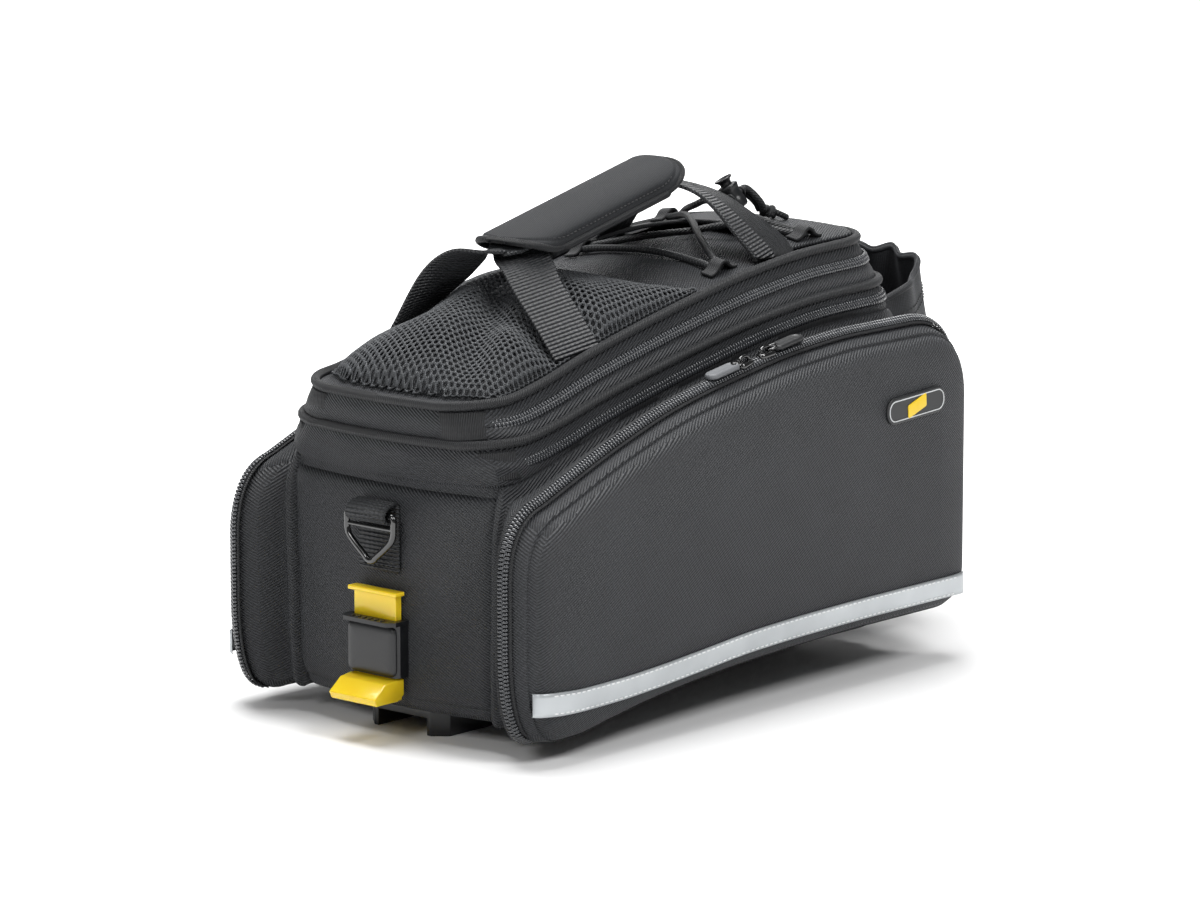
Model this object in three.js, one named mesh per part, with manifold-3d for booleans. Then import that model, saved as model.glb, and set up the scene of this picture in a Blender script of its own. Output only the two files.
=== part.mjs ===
// Bicycle trunk bag: a padded tub with a domed zipped lid, two moulded side pockets, a bottle pouch,
// a two-strap handle, a bungee over the lid, and a rail with a push latch that holds it on a rack.
// Millimetres, +Z up. X runs along the bag from its front end (-X) to its rear (+X), Y across it.
import * as THREE from "three";
import { mergeVertices } from "three/addons/utils/BufferGeometryUtils.js";
import Module from "manifold-3d";

const wasm = await Module();
wasm.setup();

// Driving dimensions
const bagLength = 346; // front face to rear wall, at the middle
const wall = 4; // padded fabric and foam
const cloth = 2; // one hemmed layer of fabric
const gap = 0.3; // clearance between pieces that touch
const bottom = 9; // the bag's bottom, over the plane that its side pockets almost reach
const frontBow = 10; // how far the front face bulges across its width
const foot = 8; // height and reach of the rounded bottom edge

// The bag's seams: height at the front and the rear, half width, how far the front and the rear lie in
// from the bag's own, and the corner radii in plan.
const levels = {
  base: { front: bottom, rear: bottom, half: 74, frontIn: 3, rearIn: 0, frontRadius: 12, rearRadius: 24 },
  seam: { front: 134, rear: 195, half: 80, frontIn: 2, rearIn: 0, frontRadius: 18, rearRadius: 28 },
  lowZip: { front: 149, rear: 202, half: 78, frontIn: 1.5, rearIn: 1, frontRadius: 21, rearRadius: 28 },
  cord: { front: 160, rear: 210, half: 75, frontIn: 0, rearIn: 2, frontRadius: 26, rearRadius: 30 },
  topZip: { front: 169.5, rear: 223, half: 69.5, frontIn: 0, rearIn: 4, frontRadius: 27, rearRadius: 32 },
  lid: { front: 180, rear: 234, half: 64, frontIn: 0, rearIn: 7, frontRadius: 27, rearRadius: 32 },
};

// How the bag rises along its length: at each share of the length, how much of their own rise the lid,
// the pocket's seam, the pocket's top, its bottom and its reflective stripe have made.
const sideProfile = [
  { along: 0, lid: 0, seam: 0.03, top: 0, bottom: 0.02, stripe: 0.1 },
  { along: 0.08, lid: 0.03, seam: 0.13, top: 0.17, bottom: 0, stripe: 0 },
  { along: 0.16, lid: 0.13, seam: 0.25, top: 0.34, bottom: 0.2, stripe: 0.02 },
  { along: 0.25, lid: 0.3, seam: 0.38, top: 0.51, bottom: 0.45, stripe: 0.15 },
  { along: 0.35, lid: 0.46, seam: 0.51, top: 0.67, bottom: 0.65, stripe: 0.4 },
  { along: 0.5, lid: 0.67, seam: 0.7, top: 0.83, bottom: 0.85, stripe: 0.8 },
  { along: 0.65, lid: 0.85, seam: 0.87, top: 0.95, bottom: 0.95, stripe: 0.95 },
  { along: 0.8, lid: 0.96, seam: 0.95, top: 1, bottom: 1, stripe: 1 },
  { along: 1, lid: 1, seam: 1, top: 1, bottom: 1, stripe: 1 },
];

// Lid
const lidCrown = 7; // rise of the lid's middle above its edge
const edgeInset = 5; // lid edge to the edge of the net and of the rear flap

// The net stands off the lid by up to bulge. It ends a share of the length back at the middle (rear),
// and further back at the sides (sweep).
const net = {
  bulge: 28, rear: 0.47, sweep: 22, lead: 0.72, crease: 0.42, creaseWidth: 12, pressed: 1.2, rows: 12, columns: 12,
};

// The rear flap's hem is at a share of the length at the middle, and further forward at the sides.
const flap = { hem: 0.8, sweep: 38, lift: 3, rows: 7, columns: 10 };
const clothRest = 1; // how far a sewn-on layer stands off the lid
const pipingRadius = 2.6;

// Zips, tabs and pockets
const zip = { tape: 11, thick: 1.2, chain: 5.5, rise: 1.4 };
const tab = { width: 12.4, thick: 2 };
const pocket = {
  creaseAt: 0.35, creaseInset: 3, wall: 3, corner: 26, rearCorner: 40, toe: 2.1, zipTape: 10,
  front: -185, rear: 190, topFront: 127, topRear: 191, bottomFront: 4, bottomRear: 23,
};

// The moulded panel of the pocket, from its zip outwards: how far each station is from the bag's middle,
// and how far it is drawn in along the top and front, and along the bottom and rear.
const panelProfile = [
  { out: 99, inset: 0, low: 0 },
  { out: 110, inset: 6, low: 1.5 },
  { out: 116.5, inset: 12, low: 7 },
  { out: 120.5, inset: 40, low: 32 },
];
const stripe = { front: 28, rear: 38, width: 13, thick: 0.8, ends: 6, stand: 0.9, rows: 24 };
const badge = { along: 0.884, height: 148, length: 52, width: 15, thick: 1.6, tilt: 3 };
const puller = { length: 24, width: 9, thick: 2.6 };
const slider = { length: 12, width: 9, thick: 4, nose: 0.55 };
const sliderAlong = { front: 0.529, rear: 0.581 }; // share of the length where each slider stands

// Front: padded panel, webbing loop with its ring, and the latch in its housing
const panel = { edge: 0.7, thick: 2.2, top: 133 };
const loop = { width: 29, above: 6, below: 32, thick: 1.5, swell: 10.5 }; // above and below the ring's bar
const ring = {
  width: 38, barHeight: 118, crossbar: 7, straight: 11, tip: 17, wire: 3.5, depth: 3, tipHalf: 5, tunnel: 2.6,
};
const housing = { width: 37, depth: 11.5, low: 29.5, high: 59, bore: 4 };
const ledge = { reach: 6, thick: 2.4, overhang: 1.2 };
const latch = { stem: 31, stemDepth: 5, top: 76.5, lip: 2.4, lipReach: 2.5, lipOver: 2.4, slack: 0.4 };
const hook = { width: 34, reach: 16.5, low: 16.5, high: 28.5, bevel: 9 };

// Base rail: a plate with two runners
const rail = { length: 306, width: 58, plate: 5, under: 9.5, runner: 11, frontInset: 14, bevel: 8 };

// Handle
const strap = {
  width: 30, thick: 2, frontNear: 85, frontFar: 103, rear: 80, foot: 57, rest: 5.1, apart: 4.8, drop: 0,
};
const grip = {
  length: 134, width: 48, height: 17, wall: 3.6, middle: -11, lift: 41, slope: 0.235, corner: 17, mouth: 16,
};

// Bungee
const bungee = 4; // diameter
const cordTab = { width: 14, thick: 1.6, depth: 8 };
const lock = {
  along: 0.836, lift: 19, radius: 6.3, height: 15, lean: [-0.33, 0.37, 0.87], slotWidth: 9.6, slotHeight: 4.8,
  button: 4.6, cap: 4,
};
const knot = { along: 0.912, side: -4, lift: 8.6, radius: 5 };

// Bottle pouch behind the rear wall
const pouch = {
  radius: 52, out: 46, wall: 2.2, floor: 44, rimRear: 211, rimFront: 187, rimLean: 3, gathers: 11, ruffle: 2.4,
  neck: 9,
};

// How finely the curved forms are divided
const steps = { front: 3, corner: 4, side: 9, rearCorner: 3, rear: 2, arc: 4, edge: 8, tube: 6 };

const frontX = -bagLength / 2;
const rearX = bagLength / 2;
const material = (name, color, roughness, metalness = 0) => {
  const made = new THREE.MeshStandardMaterial({ color, roughness, metalness });
  made.name = name;
  return made;
};
const finishes = {
  twill: material("twill", "#2b2c2e", 0.9),
  moulded: material("moulded", "#2d2e30", 0.88),
  binding: material("binding", "#242527", 0.85),
  net: material("net", "#1d1e1f", 0.9),
  webbing: material("webbing", "#27282a", 0.88),
  zipCoil: material("zip_coil", "#3a3b3d", 0.45),
  neoprene: material("neoprene", "#303235", 0.8),
  elastic: material("elastic", "#232426", 0.8),
  blackNylon: material("black_nylon", "#1f2022", 0.4),
  yellowNylon: material("yellow_nylon", "#f2c80f", 0.3),
  reflective: material("reflective", "#b9bec2", 0.35),
  rubber: material("rubber", "#8a8c8f", 0.55),
  steel: material("black_steel", "#1b1b1d", 0.3, 0.6),
};

const bag = new THREE.Group();

function add(name, geometry, finish, group = bag) {
  const mesh = new THREE.Mesh(geometry, finish);
  mesh.name = name;
  group.add(mesh);
  return mesh;
}

const point = (x, y, z) => new THREE.Vector3(x, y, z);
const lerp = THREE.MathUtils.lerp;
const clamp = THREE.MathUtils.clamp;
const shareAt = (x) => clamp((x - frontX) / bagLength, 0, 1);
const alongX = (share) => lerp(frontX, rearX, share);

// One column of the side profile at a share of the length.
function read(column, share) {
  const next = Math.max(1, sideProfile.findIndex((row) => row.along >= share));
  const [low, high] = [sideProfile[next - 1], sideProfile[next]];
  return lerp(low[column], high[column], clamp((share - low.along) / (high.along - low.along), 0, 1));
}

const heightAt = (level, x, column = "lid") => lerp(level.front, level.rear, read(column, shareAt(x)));

// Geometry from points and faces, with its faces turned outwards.
function closed(points, faces) {
  const volume = faces.reduce((sum, [a, b, c]) => {
    return sum + points[a].dot(points[b].clone().cross(points[c]));
  }, 0);
  const geometry = new THREE.BufferGeometry().setFromPoints(points);
  geometry.setIndex(faces.flatMap(([a, b, c]) => (volume > 0 ? [a, b, c] : [a, c, b])));
  geometry.computeVertexNormals();
  return geometry;
}

// A solid through rings of as many points each. It runs on into itself, or each end is closed by rungs
// from one side of its ring to the other: fold is 0 where the ring's first point lies on its middle
// line, and 1 where the first and last points face each other.
function loft(rings, { endless = false, fold = 0 } = {}) {
  const around = rings[0].length;
  const points = rings.flat();
  const faces = [];
  const bands = endless ? rings.length : rings.length - 1;
  for (let r = 0; r < bands; r++) {
    const next = (r + 1) % rings.length;
    for (let i = 0; i < around; i++) {
      const j = (i + 1) % around;
      faces.push([r * around + i, r * around + j, next * around + j]);
      faces.push([r * around + i, next * around + j, next * around + i]);
    }
  }
  if (!endless) {
    for (const [r, turned] of [[0, true], [rings.length - 1, false]]) {
      for (let i = 0; 2 * i + 1 < around - fold; i++) {
        const [a, b, c, d] = [i, i + 1, around - fold - i - 1, around - fold - i].map((k) => k % around);
        const rungs = [[a, b, c], [a, c, d]].filter((face) => new Set(face).size === 3);
        for (const face of rungs) {
          const placed = face.map((k) => r * around + k);
          faces.push(turned ? placed.reverse() : placed);
        }
      }
    }
  }
  return closed(points, faces);
}

// A thin solid between two grids of points, upper[row][column] and lower[row][column].
function sheet(upper, lower) {
  const rows = upper.length;
  return loft(Array.from({ length: rows }, (_, r) => [...upper[r], ...lower[r].slice().reverse()]), { fold: 1 });
}

// A band that follows samples { at, across, out }, with its section drawn as [across, out] pairs.
function band(samples, section, endless = false) {
  return loft(samples.map(({ at, across, out }) => section.map(([a, o]) =>
    at.clone().addScaledVector(across, a).addScaledVector(out, o))), { endless });
}

const roundSection = (radius, sides = steps.tube) => Array.from({ length: sides }, (_, i) => {
  const turn = (i / sides) * 2 * Math.PI;
  return [radius * Math.cos(turn), radius * Math.sin(turn)];
});

// A zip's section: its tape, and the chain of teeth that stands up from the tape's middle.
const zipSection = (tape, lift) => [
  [-tape / 2, 0], [tape / 2, 0], [tape / 2, zip.thick], [zip.chain / 2, zip.thick + zip.rise],
  [-zip.chain / 2, zip.thick + zip.rise], [-tape / 2, zip.thick],
].map(([a, o]) => [a, o + lift]);

// A shape drawn in a plane and given thickness: u and v are the plane's axes, and w its normal.
function plate(shape, thickness, origin, u, v, curveSegments = steps.arc) {
  const made = new THREE.ExtrudeGeometry(shape, { depth: thickness, bevelEnabled: false, curveSegments });
  const w = u.clone().cross(v);
  made.applyMatrix4(new THREE.Matrix4().makeBasis(u, v, w).setPosition(origin));
  return made;
}

const axis = { x: point(1, 0, 0), y: point(0, 1, 0), z: point(0, 0, 1) };

// A rectangle with rounded corners about the middle of its plane.
function roundedRect(width, height, radius) {
  const [w, h] = [width / 2, height / 2];
  const shape = new THREE.Shape();
  shape.moveTo(-w + radius, -h);
  shape.lineTo(w - radius, -h).absarc(w - radius, -h + radius, radius, -Math.PI / 2, 0, false);
  shape.lineTo(w, h - radius).absarc(w - radius, h - radius, radius, 0, Math.PI / 2, false);
  shape.lineTo(-w + radius, h).absarc(-w + radius, h - radius, radius, Math.PI / 2, Math.PI, false);
  shape.lineTo(-w, -h + radius).absarc(-w + radius, -h + radius, radius, Math.PI, 1.5 * Math.PI, false);
  return shape;
}

// A geometry as a manifold solid, and a solid's mesh as a geometry again.
function toSolid(geometry) {
  const bare = geometry.clone();
  bare.deleteAttribute("normal");
  bare.deleteAttribute("uv");
  const merged = mergeVertices(bare, 1e-4);
  return new wasm.Manifold(new wasm.Mesh({
    numProp: 3,
    vertProperties: merged.attributes.position.array,
    triVerts: new Uint32Array(merged.index.array),
  }));
}

function toGeometry(solid) {
  const mesh = solid.getMesh();
  const made = new THREE.BufferGeometry();
  made.setAttribute("position", new THREE.BufferAttribute(new Float32Array(mesh.vertProperties), 3));
  made.setIndex(new THREE.BufferAttribute(new Uint32Array(mesh.triVerts), 1));
  made.computeVertexNormals();
  return made;
}

// The front face bows out towards its middle.
const frontFaceX = (y, inset = 0) => frontX + inset + frontBow * (y / levels.seam.half) ** 2;

// Half of a level's plan outline, from the middle of the front along the near side (-Y) to the middle
// of the rear, drawn in by inset.
function halfPlan(level, inset) {
  const half = level.half - inset;
  const frontRadius = Math.max(level.frontRadius - inset, 1);
  const rearRadius = Math.max(level.rearRadius - inset, 1);
  const rear = rearX - level.rearIn - inset;
  const points = [];
  for (let i = 0; i < steps.front; i++) {
    const y = -((half - frontRadius) * i) / steps.front;
    points.push([frontFaceX(y, inset + level.frontIn), y]);
  }
  const cornerX = frontFaceX(half - frontRadius, inset + level.frontIn) + frontRadius;
  for (let i = 0; i <= steps.corner; i++) {
    const turn = Math.PI + (i / steps.corner) * (Math.PI / 2);
    points.push([cornerX + frontRadius * Math.cos(turn), -(half - frontRadius) + frontRadius * Math.sin(turn)]);
  }
  for (let i = 1; i < steps.side; i++) {
    points.push([lerp(cornerX, rear - rearRadius, i / steps.side), -half]);
  }
  for (let i = 0; i <= steps.rearCorner; i++) {
    const turn = 1.5 * Math.PI + (i / steps.rearCorner) * (Math.PI / 2);
    points.push([rear - rearRadius + rearRadius * Math.cos(turn), -(half - rearRadius) + rearRadius * Math.sin(turn)]);
  }
  for (let i = 1; i <= steps.rear; i++) points.push([rear, -(half - rearRadius) * (1 - i / steps.rear)]);
  return points;
}

function plan(level, inset = 0) {
  const near = halfPlan(level, inset);
  const far = near.slice(1, -1).reverse().map(([x, y]) => [x, -y]);
  return [...near, ...far];
}

// A ring of the bag's skin at a level.
const ringAt = (level, inset = 0, raise = 0, column = "lid") =>
  plan(level, inset).map(([x, y]) => point(x, y, heightAt(level, x, column) + raise));

// A level part of the way from one level to another.
function between(low, high, share) {
  return Object.fromEntries(Object.keys(low).map((key) => [key, lerp(low[key], high[key], share)]));
}

// The padded tub: front, sides, rear and bottom in one wall, up to the lid's zip.
function bodyShell() {
  const { base, seam, lowZip, cord, topZip } = levels;
  return loft([
    ringAt(base, foot), ringAt(base, 0, foot), ringAt(seam, 0, 0, "seam"), ringAt(lowZip), ringAt(cord),
    ringAt(topZip, 0, -gap), ringAt(topZip, wall, -gap), ringAt(cord, wall), ringAt(seam, wall, 0, "seam"),
    ringAt(base, wall, foot + wall), ringAt(base, foot + wall, wall),
  ]);
}

// Reads a line of pairs where its X (0) or its Y (1) reaches a value, and gives the other of the two.
function reading(line, key, value) {
  const found = line.findIndex((pair) => pair[key] >= value);
  const at = found < 0 ? line.length - 1 : Math.max(found, 1);
  const [from, to] = [line[at - 1], line[at]];
  const share = clamp((value - from[key]) / Math.max(to[key] - from[key], 1e-6), 0, 1);
  return lerp(from[1 - key], to[1 - key], share);
}

// The outline of the tub's wall in plan, a share of the way from its foot to the seam under the collar.
const wallPlan = (share) => halfPlan(between(levels.base, levels.seam, share), 0).map(([x, y]) => [x, -y]);
const wallShare = (x, z) => {
  const low = bottom + foot;
  return clamp((z - low) / (heightAt(levels.seam, x, "seam") - low), 0, 1);
};

// Height of the lid's own dome at a point in plan. The dome fades towards its front and rear.
function lidTop(x, y) {
  const across = clamp(Math.abs(y) / levels.lid.half, 0, 1);
  return heightAt(levels.lid, x) + lidCrown * (1 - across ** 2) * Math.sin(Math.PI * shareAt(x)) ** 0.5;
}

// The lid: a skirt above the zip and a dome, hollow underneath.
function lidShell() {
  const { topZip, lid } = levels;
  const shares = [0.86, 0.6, 0.3];
  const dome = (share, inset) => plan(lid, inset).map(([x, y]) => {
    const [nearX, nearY] = [x * lerp(0.8, 1, share), y * share];
    return point(nearX, nearY, lidTop(nearX, nearY) - inset);
  });
  const outer = [ringAt(topZip, 0, gap), ringAt(lid), ...shares.map((share) => dome(share, 0))];
  const inner = [ringAt(topZip, wall, gap), ringAt(lid, wall, -wall), ...shares.map((share) => dome(share, wall))];
  return loft([...inner.reverse(), ...outer]);
}

// Samples round the bag's skin at a level: where each is, the way up the skin, and the way out of it.
function skinSamples(level, below, above, belowColumn = "lid") {
  const [low, at, high] = [ringAt(below, 0, 0, belowColumn), ringAt(level), ringAt(above)];
  return at.map((p, i) => {
    const along = at[(i + 1) % at.length].clone().sub(at[(i + at.length - 1) % at.length]).normalize();
    const up = high[i].clone().sub(low[i]);
    const across = up.addScaledVector(along, -up.dot(along)).normalize();
    const out = across.clone().cross(along).normalize();
    return { at: p, across, out: out.dot(point(p.x / 2, p.y, 0)) < 0 ? out.negate() : out };
  });
}

// A sample a share of the way from one sample to another.
const mix = (from, to, share) => ({
  at: from.at.clone().lerp(to.at, share),
  across: from.across.clone().lerp(to.across, share).normalize(),
  out: from.out.clone().lerp(to.out, share).normalize(),
});

// Piping sewn into a seam all the way round, standing off the skin.
const piping = (samples, stand) =>
  band(samples, roundSection(pipingRadius).map(([a, o]) => [a, o + pipingRadius + stand]), true);

// A zip round the bag, from one front corner over the rear to the other, and the tabs over its ends.
function zipRound(name, samples, corner) {
  const count = samples.length;
  add(name, band(samples.slice(corner + 1, count - corner), zipSection(zip.tape, gap * 2.5)), finishes.zipCoil);
  const [w, t] = [tab.width / 2, tab.thick];
  const section = [[-w, 0], [w, 0], [w, t], [-w, t]].map(([a, o]) => [a, o + gap * 1.5]);
  const end = samples[count - corner];
  const bent = [-0.94, 0, 0.94].map((share) => mix(end, samples[count - corner + Math.sign(share)], Math.abs(share)));
  add(name + "_tab_far", band(bent, section), finishes.binding);
  add(name + "_tab_near", mirrored(band(bent, section)), finishes.binding);
}

// Side pocket outline in the XZ plane, its corners rounded. Its top and front are drawn in by inset, and
// its bottom and rear by low.
const pocketTop = (x) => lerp(pocket.topFront, pocket.topRear, read("top", shareAt(x)));
const pocketBottom = (x) => lerp(pocket.bottomFront, pocket.bottomRear, read("bottom", shareAt(x)));

function pocketOutline(inset, low = inset) {
  const front = pocket.front + inset;
  const rear = pocket.rear - low;
  const radius = Math.max(pocket.corner - inset * 0.5, 6);
  const top = (x) => pocketTop(x) - inset;
  const bottom = (x) => pocketBottom(x) + low;
  const corner = (from, at, to) => Array.from({ length: steps.arc }, (_, i) => {
    const t = (i + 0.5) / steps.arc;
    return [0, 1].map((k) => (1 - t) ** 2 * from[k] + 2 * t * (1 - t) * at[k] + t ** 2 * to[k]);
  });
  const run = (from, to, edge) => Array.from({ length: steps.edge + 1 }, (_, i) => {
    const x = lerp(from, to, i / steps.edge);
    return [x, edge(x)];
  });
  const rise = (x, from, to) => [0, 0.5, 1].map((t) => [x, lerp(from, to, t)]);
  const [nearX, farX] = [front + radius, rear - radius];
  const toe = bottom(front) + radius * pocket.toe;
  const shoulder = top(front) - radius * 1.3;
  const rearRadius = radius + pocket.rearCorner - pocket.corner;
  const fallX = rear - rearRadius;
  return [
    ...corner([nearX, bottom(nearX)], [front, bottom(front)], [front, toe]),
    ...rise(front, toe, shoulder),
    ...corner([front, shoulder], [front, top(front)], [nearX, top(nearX)]),
    ...run(nearX, fallX, top),
    ...corner([fallX, top(fallX)], [rear, top(rear)], [rear, top(rear) - rearRadius]),
    ...rise(rear, top(rear) - rearRadius, bottom(rear) + radius),
    ...corner([rear, bottom(rear) + radius], [rear, bottom(rear)], [farX, bottom(farX)]),
    ...run(farX, nearX, bottom),
  ];
}

const pocketRing = (out, inset, low) => pocketOutline(inset, low).map(([x, z]) => point(x, -out, z));

// Where the gusset meets the bag: the pocket's outline moved to the seam and laid on the tub's wall.
function gussetRoot(inset) {
  return pocketOutline(inset).map(([x, z]) => {
    const held = clamp(x, frontX + 17 + inset, rearX - 8 - inset);
    const [low, high] = [pocketBottom(held), pocketTop(held)];
    const seamed = heightAt(levels.seam, held, "seam") - 3;
    const height = Math.max(lerp(low, seamed, (z - low) / (high - low)), bottom + foot / 2 + inset);
    return point(held, -(reading(wallPlan(wallShare(held, height)), 0, held) - pocket.wall), height);
  });
}

// The soft gusset between the tub's side and the pocket's zip, creased along its length.
function pocketGusset() {
  const zipPlane = panelProfile[0].out;
  const rings = (inset) => {
    const [root, rim] = [gussetRoot(inset), pocketRing(zipPlane - gap, inset)];
    const crease = pocketOutline(inset + pocket.creaseInset).map(([x, z], i) => {
      const middle = root[i].clone().lerp(rim[i], pocket.creaseAt);
      const centre = point(lerp(pocket.front, pocket.rear, 0.5), middle.y, levels.seam.front * 0.75);
      return middle.addScaledVector(centre.sub(middle).normalize(), pocket.creaseInset);
    });
    return [root, crease, rim];
  };
  const sleeve = loft([...rings(0), ...rings(pocket.wall).reverse()], { endless: true });
  const { base, seam, lowZip } = levels;
  const tub = loft([
    ringAt(base, -gap, foot / 4), ringAt(base, -gap, foot), ringAt(seam, -gap, 0, "seam"), ringAt(lowZip, -gap),
  ]);
  return toGeometry(toSolid(sleeve).subtract(toSolid(tub)));
}

// The moulded outer panel of the pocket, from the zip to its flat face.
function pocketPanel() {
  const rings = (wallIn) => panelProfile.map(({ out, inset, low }, i) => {
    const rim = i === 0;
    const drawn = wallIn ? (rim ? pocket.wall : 1) : 0;
    return pocketRing(out + (rim ? gap : -(wallIn ? pocket.wall : 0)), inset + drawn, low + drawn);
  });
  return loft([...rings(true).reverse(), ...rings(false)]);
}

// The pocket's zip, from the front foot over the top to the rear foot.
function pocketZip() {
  const ring = pocketOutline(0);
  const count = steps.arc * 3 + 6 + steps.edge + 3;
  const samples = ring.slice(0, count).map(([x, z], i) => {
    const [before, after] = [ring[Math.max(i - 1, 0)], ring[Math.min(i + 1, count - 1)]];
    const along = point(after[0] - before[0], 0, after[1] - before[1]).normalize();
    return { at: point(x, -panelProfile[0].out, z), across: axis.y.clone(), out: point(-along.z, 0, along.x) };
  });
  return band(samples, zipSection(pocket.zipTape, gap * 2));
}

// How far out the pocket's panel stands at a point of its face.
function panelReach(x, z) {
  const stand = (away, column) => {
    const next = Math.max(1, panelProfile.findIndex((row) => row[column] >= away));
    const [from, to] = away >= panelProfile.at(-1)[column] ? [panelProfile.at(-1), panelProfile.at(-1)]
      : [panelProfile[next - 1], panelProfile[next]];
    return lerp(from.out, to.out, clamp((away - from[column]) / Math.max(to[column] - from[column], 1e-6), 0, 1));
  };
  return Math.min(stand(x - pocket.front, "inset"), stand(pocketTop(x) - z, "inset"),
    stand(pocket.rear - x, "low"), stand(z - pocketBottom(x), "low"));
}

// The reflective stripe across the pocket's foot.
function stripeBand() {
  const rows = Array.from({ length: stripe.rows + 1 }, (_, i) => {
    const share = 0.5 - 0.5 * Math.cos((Math.PI * i) / stripe.rows);
    const x = lerp(pocket.front + stripe.ends, pocket.rear - stripe.ends, share);
    const middle = lerp(stripe.front, stripe.rear, read("stripe", shareAt(x)));
    return [-0.5, 0, 0.5].map((part) => [x, middle + part * stripe.width]);
  });
  const skin = (lift) => rows.map((row) => row.map(([x, z]) => point(x, -(panelReach(x, z) + lift), z)));
  return sheet(skin(stripe.stand + stripe.thick), skin(stripe.stand));
}

// The same piece on the bag's far side.
function mirrored(geometry) {
  const made = geometry.clone().applyMatrix4(new THREE.Matrix4().makeScale(1, -1, 1));
  const flat = made.index ? Array.from(made.index.array)
    : Array.from({ length: made.attributes.position.count }, (_, i) => i);
  for (let i = 0; i < flat.length; i += 3) [flat[i + 1], flat[i + 2]] = [flat[i + 2], flat[i + 1]];
  made.setIndex(flat);
  made.computeVertexNormals();
  return made;
}

// A plain badge on the pocket's face, resting on the place under it that stands out most.
function badgePlate() {
  const at = alongX(badge.along);
  const lean = THREE.MathUtils.degToRad(badge.tilt);
  const u = point(Math.cos(lean), 0, Math.sin(lean));
  const v = point(-Math.sin(lean), 0, Math.cos(lean));
  const shape = roundedRect(badge.length, badge.width, badge.width / 2 - 0.5);
  const edges = [-0.5, 0, 0.5];
  const under = edges.flatMap((a) => edges.map((b) => panelReach(at + a * badge.length, badge.height + b * badge.width)));
  return plate(shape, badge.thick, point(at, -(Math.max(...under) + gap), badge.height), u, v);
}

// A zip slider on the pocket's zip, and the pull that lies beside it.
function sliderFrame(share) {
  const x = alongX(share);
  const reach = slider.length / 2;
  const along = point(reach * 2, 0, pocketTop(x + reach) - pocketTop(x - reach)).normalize();
  const out = point(-along.z, 0, along.x);
  const lift = gap * 4 + zip.thick + zip.rise;
  return { along, out, top: point(x, -panelProfile[0].out, pocketTop(x)).addScaledVector(out, lift) };
}

function sliderBody(share) {
  const { along, out, top } = sliderFrame(share);
  const [l, w] = [slider.length / 2, slider.width / 2];
  const outline = [[-l, -w], [l, -w * slider.nose], [l, w * slider.nose], [-l, w]];
  return loft([0, slider.thick].map((lift) => outline.map(([a, c]) => top.clone()
    .addScaledVector(along, a).addScaledVector(axis.y, c).addScaledVector(out, lift))));
}

function sliderPull(share, way) {
  const { along, out, top } = sliderFrame(share);
  const shape = roundedRect(puller.length, puller.width, puller.width * 0.4);
  const away = way * (slider.length / 2 + gap + puller.length / 2);
  const middle = top.clone().addScaledVector(along, away).addScaledVector(out, gap);
  return plate(shape, puller.thick, middle, along, axis.y.clone().negate().cross(along).cross(along));
}

// How far the net stands off the lid: a dome with a crease from its near front corner inwards.
function netBulgeAt(x, y, front, rear, half) {
  const along = clamp((x - front) / (rear - front), 0, 1);
  const across = clamp(y / half, -1, 1);
  const dome = Math.sin(Math.PI * along ** net.lead) ** 0.65 * Math.max(1 - across ** 2, 0) ** 0.55;
  const [fromX, fromY, toX, toY] = [frontX + 13, -0.75 * half, frontX + 94, -1];
  const [dx, dy] = [toX - fromX, toY - fromY];
  const on = clamp(((x - fromX) * dx + (y - fromY) * dy) / (dx * dx + dy * dy), 0, 1);
  const away = Math.hypot(x - fromX - on * dx, y - fromY - on * dy);
  const crease = 1 - net.crease * Math.exp(-((away / net.creaseWidth) ** 2));
  const fromStrap = (x + (y < 0 ? strap.frontNear : strap.frontFar)) / (strap.width * 0.8);
  const pressed = 1 - net.pressed * Math.exp(-(fromStrap ** 4)) * across ** 2;
  return net.bulge * dome * crease * Math.max(pressed, 0);
}

function netPocket() {
  const front = frontX + edgeInset + pipingRadius;
  const half = levels.lid.half - edgeInset;
  const grid = (lift) => Array.from({ length: net.rows + 1 }, (_, r) => {
    return Array.from({ length: net.columns + 1 }, (_, c) => {
      const across = -1 + (2 * c) / net.columns;
      const start = front + frontBow * across ** 2 * 0.6 + 12 * across ** 6;
      const rear = alongX(net.rear) + net.sweep * across ** 2;
      const x = lerp(start, rear, r / net.rows);
      const narrow = half - 10 * (1 - clamp((x - frontX) / 30, 0, 1)) ** 2;
      const y = across * narrow;
      return point(x, y, lidTop(x, y) + netBulgeAt(x, y, start, rear, narrow) + lift);
    });
  });
  return sheet(grid(clothRest + gap + cloth), grid(clothRest + gap));
}

// The rear flap of the lid: its hem is an arc across the lid, and stands a little open.
const flapHalf = levels.lid.half - edgeInset;
const hemX = (y) => alongX(flap.hem) - flap.sweep * (y / flapHalf) ** 2;
const flapRear = (y) => rearX - edgeInset - 2 - 14 * (y / flapHalf) ** 6;
function flapOpen(x, y) {
  const share = clamp((x - hemX(y)) / (flapRear(y) - hemX(y)), 0, 1);
  return flap.lift * (1 - share) ** 3 * (1 - (y / flapHalf) ** 4);
}

function rearFlap() {
  const grid = (lift) => Array.from({ length: flap.rows + 1 }, (_, r) => {
    return Array.from({ length: flap.columns + 1 }, (_, c) => {
      const across = flapHalf * (-1 + (2 * c) / flap.columns);
      const x = lerp(hemX(across), flapRear(across), r / flap.rows);
      const y = across * (1 - 0.15 * clamp((x - rearX + 34) / 34, 0, 1) ** 2);
      return point(x, y, lidTop(x, y) + flapOpen(x, across) + lift);
    });
  });
  return sheet(grid(clothRest + cloth), grid(clothRest));
}

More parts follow.
